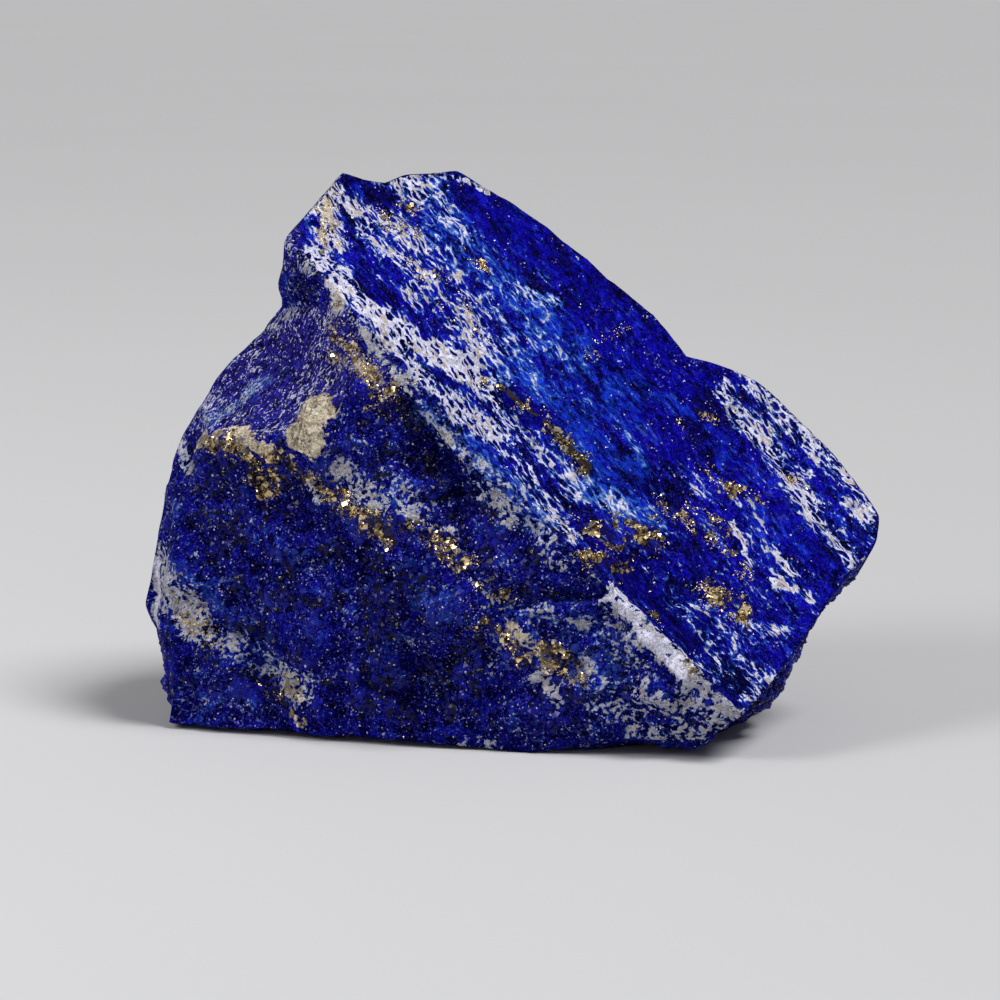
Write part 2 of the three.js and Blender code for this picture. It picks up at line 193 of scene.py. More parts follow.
# Front: whites, crust and gold
FRONT_MARKS = (
    Mark("pale tip", CRUST, ((333, 287), (338, 303)), 1.2, 0.5, 0.4),
    Mark("pale tip, white", CALCITE, ((333, 285), (338, 303)), 1.2, 1.2, 0.4),
    Mark("cream knob", CRUST, ((316, 411), (306, 438)), 2.0, 1.2, 0.35),
    Mark("crust, left", CRUST, ((202, 441), (236, 430), (264, 446)), 1.3, 0.6, 1.8),
    Mark("crust under the ridge", CRUST, ((346, 344), (366, 372), (382, 390)), 2.0, 0.44, 1.4),
    Mark("foot knob", CRUST, ((288, 684), (298, 690)), 1.6, 0.52, 0.3),
    Mark("foot chip", CRUST, ((290, 716), (302, 724)), 0.7, 0.6),
    Mark("crust below the ledge", CRUST, ((516, 630), (548, 660)), 1.4, 0.55),
    Mark("grey patch", CALCITE, ((340, 470), (358, 496)), 1.3, 0.68),
    Mark("cream chip", CALCITE, ((309, 484), (317, 497)), 0.7, 0.76),
    Mark("grey streak", CALCITE, ((356, 486), (422, 511)), 2.2, 0.5),
    Mark("grey streak, upper", CALCITE, ((366, 452), (392, 472), (400, 498)), 1.5, 0.42),
    Mark("grey streak, lower", CALCITE, ((424, 522), (462, 566), (498, 606)), 1.4, 0.44),
    Mark("white under the lip", CALCITE, ((528, 616), (586, 626)), 0.9, 0.54),
    Mark("white edge of the pocket", CALCITE, ((426, 520), (452, 530)), 0.8, 0.6),
    Mark("left margin, upper", CALCITE, ((158, 556), (170, 590), (190, 620)), 2.1, 0.78),
    Mark("left margin, lower", CALCITE, ((186, 603), (206, 640)), 1.5, 0.67),
    Mark("margin lumps", CALCITE, ((156, 562), (153, 594), (159, 626)), 0.9, 0.95, 0.6),
    Mark("margin tail", CALCITE, ((206, 636), (240, 648), (266, 668)), 1.9, 0.5),
    Mark("white at the foot", CALCITE, ((287, 684), (299, 691)), 1.9, 0.74, 0.3),
    Mark("white below the ledge", CALCITE, ((540, 678), (560, 704)), 1.0, 0.75),
    Mark("white spot, block", CALCITE, ((523, 640), (532, 654)), 0.7, 0.75),
    Mark("white spot, right", CALCITE, ((581, 656), (590, 668)), 0.7, 0.8),
    Mark("ledge lip", CALCITE, ((508, 606), (556, 611)), 0.5, 0.64),
    Mark("mottled block", CALCITE, ((580, 680), (640, 722)), 3.0, 0.45),
    Mark("mottled block, upper", CALCITE, ((600, 624), (650, 690)), 2.0, 0.44),
    Mark("grey undercut", CALCITE, ((648, 694), (696, 704), (724, 718)), 2.6, 0.62),
    Mark("grey undercut, low", CALCITE, ((630, 730), (690, 736)), 1.8, 0.58),
    Mark("grey flank of the ridge", CALCITE, ((500, 496), (530, 530), (562, 556)), 2.0, 0.5),
    Mark("foot whites", CALCITE, ((464, 741), (494, 747)), 0.9, 0.5),
    Mark("haze at the left", PALE, ((190, 560), (240, 600), (262, 660)), 2.2, 0.4),
    Mark("haze in the middle", PALE, ((270, 540), (330, 560), (350, 580)), 2.2, 0.35),
    Mark("haze below the gold", PALE, ((400, 560), (450, 600)), 2.0, 0.4),
    Mark("haze at the block", PALE, ((530, 624), (600, 664)), 2.8, 0.6),
    Mark("gold crust, left", PYRITE, ((204, 440), (236, 446)), 1.3, 0.85),
    Mark("gold crust, middle", PYRITE, ((242, 446), (264, 490)), 1.2, 0.95),
    Mark("gold crust, right", PYRITE, ((266, 452), (296, 468)), 1.1, 0.85),
    Mark("gold crust, low", PYRITE, ((268, 474), (280, 484)), 1.0, 0.95),
    Mark("gold by the chip", PYRITE, ((300, 474), (318, 486)), 0.8, 0.8),
    Mark("gold under the ridge", PYRITE, ((340, 346), (362, 368), (386, 394)), 2.2, 0.62, 1.4),
    Mark("gold by the grey patch", PYRITE, ((330, 492), (368, 516)), 1.3, 0.75),
    Mark("gold spot, middle", PYRITE, ((370, 522), (388, 538)), 1.3, 1.3),
    Mark("gold streak, middle", PYRITE, ((390, 530), (444, 538)), 1.1, 0.8),
    Mark("gold streak, lower", PYRITE, ((442, 548), (504, 596)), 1.3, 0.68),
    Mark("gold below the ledge", PYRITE, ((486, 620), (528, 662)), 1.3, 0.8),
    Mark("gold on the block", PYRITE, ((544, 648), (576, 672)), 1.2, 0.9),
    Mark("gold at the foot", PYRITE, ((262, 690), (284, 700)), 0.8, 0.6),
    Mark("gold in the margin", PYRITE, ((174, 598), (204, 642)), 1.4, 0.45),
)

# Where the rock is darker, and where shade is painted into its colour
DARK_MARKS = (
    Mark("dark foot of the bands", NIGHT, ((606, 560), (660, 606), (704, 656), (730, 690)), 3.4, 0.75),
    Mark("dark saddle", NIGHT, ((640, 470), (690, 545)), 2.4, 0.5),
    Mark("dark seam", NIGHT, ((500, 388), (540, 418), (588, 470)), 1.0, 0.9, 0.7),
    # Painted shade in the pocket under the ridge and on the dark left side of the top
    Mark("pocket under the ridge", NIGHT, ((408, 408), (440, 450), (470, 500)), 2.6, 0.9),
    Mark("dark side of the top", NIGHT, ((304, 262), (300, 296)), 1.8, 0.8),
    # Painted shade under the crust and over the ledge
    Mark("shade under the crust", NIGHT, ((232, 478), (300, 496), (330, 520)), 1.8, 0.6),
    Mark("shade over the ledge", NIGHT, ((500, 592), (560, 596), (600, 588)), 1.3, 0.9),
    Mark("dark scar", NIGHT, ((388, 590), (400, 640), (420, 690)), 2.6, 0.7),
    # Painted shade along the foot and in the undercut
    Mark("dark foot", NIGHT, ((420, 736), (500, 742), (600, 736)), 1.8, 0.6),
    Mark("dark undercut", NIGHT, ((630, 722), (690, 734), (720, 728)), 2.4, 0.55),
)

# Shoulder at the upper left
SHOULDER_MARKS = (
    Mark("shoulder streak", PALE, ((210, 426), (240, 400), (276, 372)), 1.3, 0.95),
    Mark("shoulder streak, white", CALCITE, ((214, 422), (240, 400), (266, 380)), 0.8, 0.5),
    Mark("shoulder edge", CALCITE, ((268, 330), (290, 314)), 0.8, 0.7),
    Mark("shoulder rim", CALCITE, ((180, 446), (186, 466)), 0.9, 0.7),
)

MARKS = BANDED_MARKS + BANDED_GOLD + FRONT_MARKS + DARK_MARKS + SHOULDER_MARKS


def smooth_step(value: np.ndarray, low: float, high: float) -> np.ndarray:
    """Rises smoothly from 0 at low to 1 at high.

    Args:
        value: Any array of numbers.
        low: Where the rise starts.
        high: Where the rise ends. It may be lower than low, for a fall.

    Returns:
        An array of the same shape, from 0 to 1.
    """
    share = np.clip((value - low) / (high - low), 0.0, 1.0)
    return share * share * (3.0 - 2.0 * share)


class Wiring:
    """Adds nodes to one node tree and joins them up."""

    noise_spread = 0.075

    def __init__(self, tree: bpy.types.NodeTree) -> None:
        """Keeps the tree that the nodes go into."""
        self.tree = tree

    def add(self, kind: str, **settings: object) -> bpy.types.Node:
        """Adds a node.

        Args:
            kind: The node's type name.
            settings: Properties to set on the node.

        Returns:
            The new node.
        """
        node = self.tree.nodes.new(kind)
        for name, value in settings.items():
            setattr(node, name, value)
        return node

    def feed(self, socket: bpy.types.NodeSocket, value: Feed) -> None:
        """Links a socket to another one, or sets its own value.

        Args:
            socket: The socket that takes the value.
            value: Another node's socket, or a plain value.
        """
        if isinstance(value, bpy.types.NodeSocket):
            self.tree.links.new(value, socket)
        else:
            socket.default_value = value

    def math(self, operation: str, first: Feed, second: Feed = 0.0) -> bpy.types.NodeSocket:
        """Joins two numbers by a Math node.

        Args:
            operation: The node's operation.
            first: The first number.
            second: The second number.

        Returns:
            The node's result.
        """
        node = self.add("ShaderNodeMath", operation=operation)
        self.feed(node.inputs[0], first)
        self.feed(node.inputs[1], second)
        return node.outputs[0]

    def total(self, *terms: tuple[Feed, Feed], start: Feed = 0.0) -> bpy.types.NodeSocket:
        """Adds up some numbers.

        Args:
            terms: Each number and its weight.
            start: What they are added to.

        Returns:
            The sum.
        """
        result = start
        for value, weight in terms:
            node = self.add("ShaderNodeMath", operation="MULTIPLY_ADD")
            self.feed(node.inputs[0], value)
            self.feed(node.inputs[1], weight)
            self.feed(node.inputs[2], result)
            result = node.outputs[0]
        return result

    def vector(self, operation: str, first: Feed, second: Feed = (0, 0, 0)) -> bpy.types.NodeSocket:
        """Joins two vectors by a Vector Math node.

        Args:
            operation: The node's operation.
            first: The first vector.
            second: The second vector.

        Returns:
            The node's result, which is a number for a dot product.
        """
        node = self.add("ShaderNodeVectorMath", operation=operation)
        self.feed(node.inputs[0], first)
        self.feed(node.inputs[1], second)
        return node.outputs["Value" if operation == "DOT_PRODUCT" else "Vector"]

    def scaled(self, vector: Feed, scale: Feed) -> bpy.types.NodeSocket:
        """Multiplies a vector by a number.

        Args:
            vector: A vector or a colour.
            scale: The number.

        Returns:
            The scaled vector.
        """
        node = self.add("ShaderNodeVectorMath", operation="SCALE")
        self.feed(node.inputs[0], vector)
        self.feed(node.inputs["Scale"], scale)
        return node.outputs["Vector"]

    def span(self, value: Feed, low: float, high: float) -> bpy.types.NodeSocket:
        """Makes a smooth rise.

        Args:
            value: The number that is read.
            low: Where the rise starts.
            high: Where the rise ends.

        Returns:
            A number that is 0 up to low and 1 from high.
        """
        node = self.add("ShaderNodeMapRange", interpolation_type="SMOOTHSTEP")
        self.feed(node.inputs["Value"], value)
        node.inputs["From Min"].default_value = low
        node.inputs["From Max"].default_value = high
        return node.outputs["Result"]

    def noise(self, place: Feed, detail: float = 3.0, rough: float = 0.55) -> bpy.types.Node:
        """Adds a noise.

        Args:
            place: Where to read the noise, in units of its size.
            detail: How many finer noises are added.
            rough: How strong the finer noises are.

        Returns:
            The noise's node.
        """
        node = self.add("ShaderNodeTexNoise")
        self.feed(node.inputs["Vector"], place)
        node.inputs["Scale"].default_value = 1.0
        node.inputs["Detail"].default_value = detail
        node.inputs["Roughness"].default_value = rough
        return node

    def swing(self, place: Feed, detail: float = 3.0, rough: float = 0.55) -> bpy.types.NodeSocket:
        """Returns a noise that swings about 0, most of it between -1 and 1."""
        level = self.noise(place, detail, rough).outputs[0]
        return self.total((level, 1.0 / self.noise_spread), start=-0.5 / self.noise_spread)

    def cells(self, place: Feed, feature: str = "F1") -> bpy.types.Node:
        """Adds a Voronoi texture whose cells are about one unit of their place wide.

        Args:
            place: Where to read the cells.
            feature: What the node gives out.

        Returns:
            The texture's node.
        """
        node = self.add("ShaderNodeTexVoronoi", feature=feature)
        self.feed(node.inputs["Vector"], place)
        node.inputs["Scale"].default_value = 1.0
        return node

    def parts(self, vector: bpy.types.NodeSocket) -> Sequence[bpy.types.NodeSocket]:
        """Takes a vector or a colour apart.

        Args:
            vector: The vector or colour.

        Returns:
            Its three numbers.
        """
        node = self.add("ShaderNodeSeparateXYZ")
        self.feed(node.inputs[0], vector)
        return node.outputs

    def mix(self, share: Feed, first: Feed, second: Feed, kind: str = "RGBA") -> bpy.types.NodeSocket:
        """Mixes two colours, vectors or numbers.

        Args:
            share: How much of the second goes in, from 0 to 1.
            first: A colour, a vector or a number.
            second: The same as first.
            kind: The Mix node's data type.

        Returns:
            The mixture.
        """
        node = self.add("ShaderNodeMix", data_type=kind)
        ending = {"RGBA": "Color", "FLOAT": "Float", "VECTOR": "Vector"}[kind]
        sockets = {socket.identifier: socket for socket in node.inputs}
        self.feed(sockets["Factor_Float"], share)
        for letter, value in (("A", first), ("B", second)):
            if kind == "RGBA" and not isinstance(value, bpy.types.NodeSocket):
                value = (*value, 1.0)
            self.feed(sockets[f"{letter}_{ending}"], value)
        results = {socket.identifier: socket for socket in node.outputs}
        return results[f"Result_{ending}"]


def new_material(name: str) -> tuple[bpy.types.Material, Wiring, bpy.types.Node]:
    """Starts a material.

    Args:
        name: The material's name.

    Returns:
        The material, the wiring of its tree, and the shader that the finish feeds.
    """
    material = bpy.data.materials.new(name)
    material.use_nodes = True
    material.node_tree.nodes.clear()
    wiring = Wiring(material.node_tree)
    shader = wiring.add("ShaderNodeBsdfPrincipled")
    wiring.feed(wiring.add("ShaderNodeOutputMaterial").inputs["Surface"], shader.outputs[0])
    return material, wiring, shader


def own_place(wiring: Wiring, unit: float) -> bpy.types.NodeSocket:
    """Returns the place on the piece, counted in a unit given in metres."""
    return wiring.scaled(wiring.add("ShaderNodeTexCoord").outputs["Object"], 1.0 / unit)


@dataclass(frozen=True)
class Layering:
    """How the layers of the rock lie on one of its faces, along a line from high to low.

    Places are in millimetres. The fan bends the layers, which run straight where it is 0.
    """

    high: tuple[float, float, float]
    low: tuple[float, float, float]
    face_normal: tuple[float, float, float]
    fan: float = 0.0

    def axes(self) -> tuple[Vector, Vector, Vector]:
        """Works out how the layers lie.

        Returns:
            The unit directions along the layers, across them in the face, and out of the face.
        """
        along = (Vector(self.low) - Vector(self.high)).normalized()
        across = Vector(self.face_normal).cross(along).normalized()
        return along, across, along.cross(across)

    def coordinates(self, wiring: Wiring, place: bpy.types.NodeSocket) -> bpy.types.NodeSocket:
        """Wires the place along, across and out of the layers.

        Args:
            wiring: The tree to add to.
            place: A place in millimetres.

        Returns:
            A vector of the distances along, across and out, in millimetres.
        """
        along, across, out = (wiring.vector("DOT_PRODUCT", place, axis) for axis in self.axes())
        bent = wiring.math("MULTIPLY", wiring.math("MULTIPLY", along, along), self.fan)
        node = wiring.add("ShaderNodeCombineXYZ")
        wiring.feed(node.inputs[0], along)
        wiring.feed(node.inputs[1], wiring.math("ADD", across, bent))
        wiring.feed(node.inputs[2], out)
        return node.outputs[0]


RIDGE_TOP = (-16.1, -8.5, 43.3)
RIDGE_TOE = (22.1, -21.0, 5.2)
LAYERING = Layering(
    high=RIDGE_TOP,
    low=(18.4, -21.0, 1.8),
    face_normal=(0.32, -0.75, 0.58),
    fan=-0.001,
)
SHOULDER_LAYERING = Layering(
    high=(-17.0, -8.0, 41.0),
    low=(-27.0, -8.0, 28.0),
    face_normal=(-0.61, -0.64, 0.47),
)


@dataclass(frozen=True)
class PhotoCamera:
    """The photograph's view: a long lens, close to level with the stone. Places are in millimetres."""

    aim: tuple[float, float, float] = (-1.1, -3.5, 23.0)
    distance: float = 333.3
    elevation: float = 10.0
    lens: float = 120.0
    sensor: float = 36.0
    frame_pixels: float = 1000.0
    nearest: float = 10.0
    farthest: float = 20000.0

    def back(self) -> Vector:
        """Returns the unit direction from the stone to the camera."""
        angle = math.radians(self.elevation)
        return Vector((0.0, -math.cos(angle), math.sin(angle)))

    def eye(self) -> Vector:
        """Returns where the camera stands, in metres."""
        return (Vector(self.aim) + self.back() * self.distance) * MM

    def ray(self, pixel: Pixel) -> Vector:
        """Works out where a pixel looks.

        Args:
            pixel: A pixel of the photograph, from its upper left corner.

        Returns:
            The unit direction of its line of sight.
        """
        back = self.back()
        right = Vector((1.0, 0.0, 0.0))
        up = back.cross(right)
        half = self.frame_pixels / 2
        reach = self.sensor / self.lens / self.frame_pixels
        return ((pixel[0] - half) * reach * right + (half - pixel[1]) * reach * up - back).normalized()

    def place(self) -> bpy.types.Object:
        """Adds the camera to the scene.

        Returns:
            The camera's object.
        """
        data = bpy.data.cameras.new("photo_camera")
        data.lens = self.lens
        data.sensor_width = self.sensor
        data.clip_start = self.nearest * MM
        data.clip_end = self.farthest * MM
        camera = bpy.data.objects.new("photo_camera", data)
        camera.location = self.eye()
        camera.rotation_euler = (-self.back()).to_track_quat("-Z", "Y").to_euler()
        bpy.context.scene.collection.objects.link(camera)
        bpy.context.scene.camera = camera
        return camera


@dataclass(frozen=True)
class GrainSize:
    """Size of one kind of grain in millimetres: even, along the layers, and along the shoulder's brush."""

    even: float
    layers: Sizes
    shoulder: Sizes


@dataclass(frozen=True)
class RockGrain:
    """Sizes of the rock's pattern in millimetres."""

    drift_size: float = 9.0
    drift: float = 2.4
    ragged_size: float = 0.7
    ragged: float = 0.5
    slow: float = 7.0
    patch: float = 2.4
    streak: Sizes = (4.5, 1.4, 1.4)
    flakes: GrainSize = GrainSize(0.34, (0.7, 0.3, 0.3), (0.6, 0.22, 0.3))
    lenses: GrainSize = GrainSize(1.0, (1.5, 0.55, 0.55), (0.8, 0.32, 0.4))
    chip: float = 1.0
    dust: float = 0.14


@dataclass(frozen=True)
class Recipe:
    """How much of each pattern and mineral level goes into one number, which starts at the base."""

    base: float = 0.0
    broad: float = 0.0
    slow: float = 0.0
    soft: float = 0.0
    fine: float = 0.0
    clumps: float = 0.0
    flake: float = 0.0
    lens: float = 0.0
    dust: float = 0.0
    calcite: float = 0.0
    pale: float = 0.0
    deep: float = 0.0
    pyrite: float = 0.0
    crust: float = 0.0
    night: float = 0.0
    layered: float = 0.0
    shoulder: float = 0.0
    relief: float = 0.0


class RockPattern:
    """The noises and mineral levels that every part of the rock's finish reads."""

    rim_middle = 0.127
    rim_spread = 0.098
    broad_detail = 5.0
    broad_rough = 0.62
    soft_scale = 0.7
    soft_detail = 2.0
    mosaic_share = 2.6
    soft_share = 0.65
    halfway = 0.5

    def __init__(self, wiring: Wiring, grain: RockGrain) -> None:
        """Wires the patterns.

        Args:
            wiring: The material's tree.
            grain: Sizes of the patterns.
        """
        self.wiring = wiring
        self.place = own_place(wiring, MM)
        self.levels = {
            option: wiring.add("ShaderNodeAttribute", attribute_name=option.value).outputs["Fac"]
            for group in (Mineral, Zone)
            for option in group
        }
        self.layered = self.levels[Zone.LAYERED]
        self.shoulder = self.levels[Zone.SHOULDER]
        self.on_layers = wiring.math("GREATER_THAN", self.layered, self.halfway)
        bare = wiring.math("SUBTRACT", self.shoulder, self.levels[Mineral.CRUST])
        self.on_shoulder = wiring.math("GREATER_THAN", bare, self.halfway)
        drifting = self.bent(self.place, grain.drift_size, grain.drift)
        self.even = self.bent(drifting, grain.ragged_size, grain.ragged)
        self.flow = LAYERING.coordinates(wiring, self.even)
        self.brush = SHOULDER_LAYERING.coordinates(wiring, self.even)
        broad = (self.broad_detail, self.broad_rough)
        streaks = wiring.swing(wiring.vector("DIVIDE", self.flow, grain.streak), *broad)
        patches = wiring.swing(wiring.scaled(self.place, 1.0 / grain.patch), *broad)
        self.broad = wiring.mix(self.on_layers, patches, streaks, "FLOAT")
        self.slow = wiring.swing(wiring.scaled(self.place, 1.0 / grain.slow))
        self.clumps = wiring.swing(wiring.scaled(self.place, 1.0 / CLUMP_SIZE))
        flakes = self.laid(grain.flakes)
        self.flakes = wiring.cells(flakes)
        self.chance = wiring.parts(self.flakes.outputs["Color"])
        self.soft = wiring.swing(wiring.scaled(flakes, self.soft_scale), self.soft_detail)
        mosaic = wiring.math("SUBTRACT", self.chance[0], self.halfway)
        self.fine = wiring.total((mosaic, self.mosaic_share), (self.soft, self.soft_share))
        lenses = self.laid(grain.lenses)
        self.lens_luck = wiring.parts(wiring.cells(lenses).outputs["Color"])[0]
        self.rim = wiring.cells(lenses, "DISTANCE_TO_EDGE").outputs["Distance"]
        self.web = wiring.total((self.rim, -1.0 / self.rim_spread), start=self.rim_middle / self.rim_spread)
        self.chips = wiring.cells(wiring.scaled(self.even, 1.0 / grain.chip))
        chip_luck = wiring.parts(self.chips.outputs["Color"])[0]
        self.chip_luck = wiring.math("SUBTRACT", chip_luck, self.halfway)
        dust = wiring.cells(wiring.scaled(self.place, 1.0 / grain.dust))
        self.dust_luck = wiring.parts(dust.outputs["Color"])
        self.ingredients = {option.value: level for option, level in self.levels.items()}
        self.ingredients.update(
            broad=self.broad,
            slow=self.slow,
            soft=self.soft,
            fine=self.fine,
            clumps=self.clumps,
            flake=self.chance[1],
            lens=self.lens_luck,
            dust=self.dust_luck[1],
        )

    def blend(self, recipe: Recipe, start: Optional[bpy.types.NodeSocket] = None) -> bpy.types.NodeSocket:
        """Adds up what a recipe names.

        Args:
            recipe: The weights.
            start: What they are added to, if that isn't the recipe's base.

        Returns:
            The sum.
        """
        weights = asdict(recipe)
        base = weights.pop("base")
        terms = [(self.ingredients[name], weight) for name, weight in weights.items() if weight]
        return self.wiring.total(*terms, start=base if start is None else start)

    def bent(self, place: bpy.types.NodeSocket, size: float, reach: float) -> bpy.types.NodeSocket:
        """Pushes a place about by a noise.

        Args:
            place: A place in millimetres.
            size: The noise's size in millimetres.
            reach: How far the noise pushes, in millimetres.

        Returns:
            The new place.
        """
        push = self.wiring.noise(self.wiring.scaled(place, 1.0 / size)).outputs["Color"]
        push = self.wiring.vector("SUBTRACT", push, MIDDLE)
        return self.wiring.vector("ADD", place, self.wiring.scaled(push, reach))

    def laid(self, grain: GrainSize) -> bpy.types.NodeSocket:
        """Counts the place in grains, which follow the layers and the shoulder's brush.

        Args:
            grain: The grains' sizes.

        Returns:
            The place, in units of a grain.
        """
        wiring = self.wiring
        spot = wiring.scaled(self.even, 1.0 / grain.even)
        spot = wiring.mix(self.on_layers, spot, wiring.vector("DIVIDE", self.flow, grain.layers), "VECTOR")
        brushed = wiring.vector("DIVIDE", self.brush, grain.shoulder)
        return wiring.mix(self.on_shoulder, spot, brushed, "VECTOR")

    def by_face(self, front: Feed, banded: Feed) -> bpy.types.NodeSocket:
        """Returns one number on the banded face and another on the rest of the stone."""
        return self.wiring.mix(self.layered, front, banded, "FLOAT")


@dataclass(frozen=True)
class LapisFinish:
    """The rock's own surface: blues, white calcite, cream crust, and gold and painted glints too fine for
    grains.

    Colours are linear. A rise is where something starts to come in and where it is full. What is given by
    face has one number for the rough front and one for the banded face.
    """

    pattern: RockGrain = RockGrain()
    midnight: Colour = (0.0015, 0.001, 0.045)
    ultramarine: Colour = (0.0025, 0.0012, 0.215)
    cobalt: Colour = (0.005, 0.008, 0.34)
    navy: Colour = (0.003, 0.003, 0.14)
    teal: Colour = (0.006, 0.026, 0.21)
    azure: Colour = (0.012, 0.08, 0.46)
    sky: Colour = (0.13, 0.25, 0.62)
    white: Colour = (0.63, 0.62, 0.76)
    grey: Colour = (0.39, 0.39, 0.46)
    stain: Colour = (0.36, 0.27, 0.14)
    cream: Colour = (0.58, 0.50, 0.38)
    umber: Colour = (0.035, 0.026, 0.018)
    ochre: Colour = (0.21, 0.17, 0.115)
    violet: Colour = (0.017, 0.013, 0.165)
    gold: Colour = (0.44, 0.34, 0.17)
    # Painted glints, painted sheen on the grains' borders, and painted blue sparkle.
    glint: Colour = (0.60, 0.60, 0.74)
    sheen: Colour = (0.26, 0.31, 0.62)
    spark: Colour = (0.03, 0.034, 0.40)
    haze: Colour = (0.004, 0.024, 0.38)
    gloss: float = 0.01
    roughness: float = 0.45
    metal_roughness: float = 0.28
    bump_depth: float = 0.1
    # The relief term paints light onto crests and shade into hollows.
    tone: Recipe = Recipe(broad=0.65, soft=0.3, slow=0.4, relief=2.0)
    blue_rise: Span = (-1.8, -0.1)
    lighter: Recipe = Recipe(deep=-1.3)
    cobalt_rise: Span = (0.2, 1.8)
    hazy: Recipe = Recipe(broad=0.25, soft=0.15, pale=1.0)
    haze_rise: Span = (0.15, 1.0)
    patchy_tone: float = 0.6
    patchy_chips: float = 2.0
    navy_rise: Span = (-1.7, 0.1)
    teal_rise: Span = (0.7, 1.9)
    violet_share: float = 0.8
    grain_shade: Recipe = Recipe(base=-0.5, flake=1.2, lens=0.8, dust=1.0)
    darkest_grain: float = 0.15
    spark_loss: Recipe = Recipe(deep=-0.2)
    spark_rise: Span = (0.68, 1.0)
    sparks_by_face: Span = (0.6, 0.3)
    among_white_rise: Span = (0.42, 0.75)
    among_white_loss: float = 0.55
    night_loss: Recipe = Recipe(base=1.0, night=-0.6)
    darkest_hollow: float = 0.25
    whiteness: Recipe = Recipe(broad=0.12, deep=-0.18, calcite=1.0)
    hole_rise: Span = (0.45, 0.75)
    hole_depth: Span = (0.13, 0.29)
    front_web: float = 0.11
    fine_by_face: Span = (0.16, 0.11)
    around_white: Recipe = Recipe(pale=0.24)
    haze_by_face: Span = (0.4, 0.85)
    azure_rise: Span = (0.38, 0.62)
    sky_rise: Span = (0.54, 0.78)
    pure_rise: Span = (0.75, 0.95)
    clean_rise: Span = (0.7, 1.0)
    clean_loss: float = 0.3
    stained: Recipe = Recipe(broad=0.10)
    stain_rise: Span = (0.74, 0.95)
    stains_by_face: Span = (0.4, 0.7)
    white_shade: Recipe = Recipe(base=0.6, flake=0.45, dust=0.35)
    white_rise: Span = (0.565, 0.70)
    stroke_rim: Recipe = Recipe(shoulder=-0.04)
    stroke_rise: Span = (0.08, 0.03)
    stroke_breaks: Recipe = Recipe(soft=0.9, broad=0.5, slow=0.4, shoulder=0.7)
    stroke_break: Span = (1.0, 1.8)
    stroke_strength: Recipe = Recipe(base=0.25, layered=-0.15, shoulder=0.75)
    stroke_night: Recipe = Recipe(base=1.0, night=-0.8)
    crusty: Recipe = Recipe(fine=0.06, broad=0.08, crust=1.0)
    crust_rise: Span = (0.42, 0.55)
    crust_edge: Span = (0.05, 0.25)
    # Painted shade in the crust's hollows, from the relief.
    crust_hollow: Recipe = Recipe(soft=0.10, crust=-0.4, relief=1.0)
    cream_rise: Span = (-0.35, 0.05)
    cream_shade: Recipe = Recipe(base=0.6, dust=0.5, flake=0.3)
    umber_rise: Span = (0.4, 0.8)
    brownish: Recipe = Recipe(fine=0.18, pyrite=1.0)
    brown_rise: Span = (0.55, 0.95)
    brown_by_face: Span = (0.7, 0.15)
    gold_clumps: Span = (-0.5, 0.8)
    gold_odds: float = 0.55
    # How often painted glints fall.
    sparkling: Recipe = Recipe(base=0.026, shoulder=0.04, layered=-0.02, clumps=0.012)
    white_dullness: float = 0.15
    chip_dome: float = 2.2
    flake_dome: float = 0.7
    soft_bump: Recipe = Recipe(soft=0.4)
    domes_by_face: Span = (1.0, 0.25)
    tilt_flakes: float = 0.35
    tilt_chips_by_face: Span = (0.75, 0.0)

    def blues(self, rock: RockPattern) -> bpy.types.NodeSocket:
        """Mixes the blue of the rock, without its white.

        Args:
            rock: The patterns.

        Returns:
            The blue.
        """
        wiring, levels = rock.wiring, rock.levels
        # Painted light on crests and painted shade in hollows come in with the relief.
        tone = rock.blend(self.tone)
        bright = wiring.mix(wiring.span(tone, *self.blue_rise), self.midnight, self.ultramarine)
        lighter = rock.blend(self.lighter, tone)
        bright = wiring.mix(wiring.span(lighter, *self.cobalt_rise), bright, self.cobalt)
        hazy = rock.blend(self.hazy)
        bright = wiring.mix(wiring.span(hazy, *self.haze_rise), bright, self.haze)
        patchy = wiring.total((tone, self.patchy_tone), (rock.chip_luck, self.patchy_chips))
        dull = wiring.mix(wiring.span(patchy, *self.navy_rise), self.midnight, self.navy)
        dull = wiring.mix(wiring.span(patchy, *self.teal_rise), dull, self.teal)
        blue = wiring.mix(rock.layered, dull, bright)
        # The shoulder's own violet-blue, which also stands in for its sheen as painted sheen.
        blue = wiring.mix(wiring.math("MULTIPLY", rock.shoulder, self.violet_share), blue, self.violet)
        shade = wiring.math("MAXIMUM", rock.blend(self.grain_shade), self.darkest_grain)
        # Painted sparkle: bright blue specks standing in for glinting grain facets.
        sparks = rock.blend(self.spark_loss, rock.by_face(*self.sparks_by_face))
        sparks = wiring.math("MULTIPLY", wiring.span(rock.dust_luck[1], *self.spark_rise), sparks)
        blue = wiring.mix(sparks, blue, self.spark)
        # Darker among the white, which is the rock's own colour, and in the darker rock and painted shade
        # of the dark marks.
        among_white = wiring.span(levels[Mineral.CALCITE], *self.among_white_rise)
        dark = wiring.total((among_white, -self.among_white_loss), start=rock.blend(self.night_loss))
        dark = wiring.math("MAXIMUM", dark, self.darkest_hollow)
        return wiring.scaled(blue, wiring.math("MULTIPLY", shade, dark))

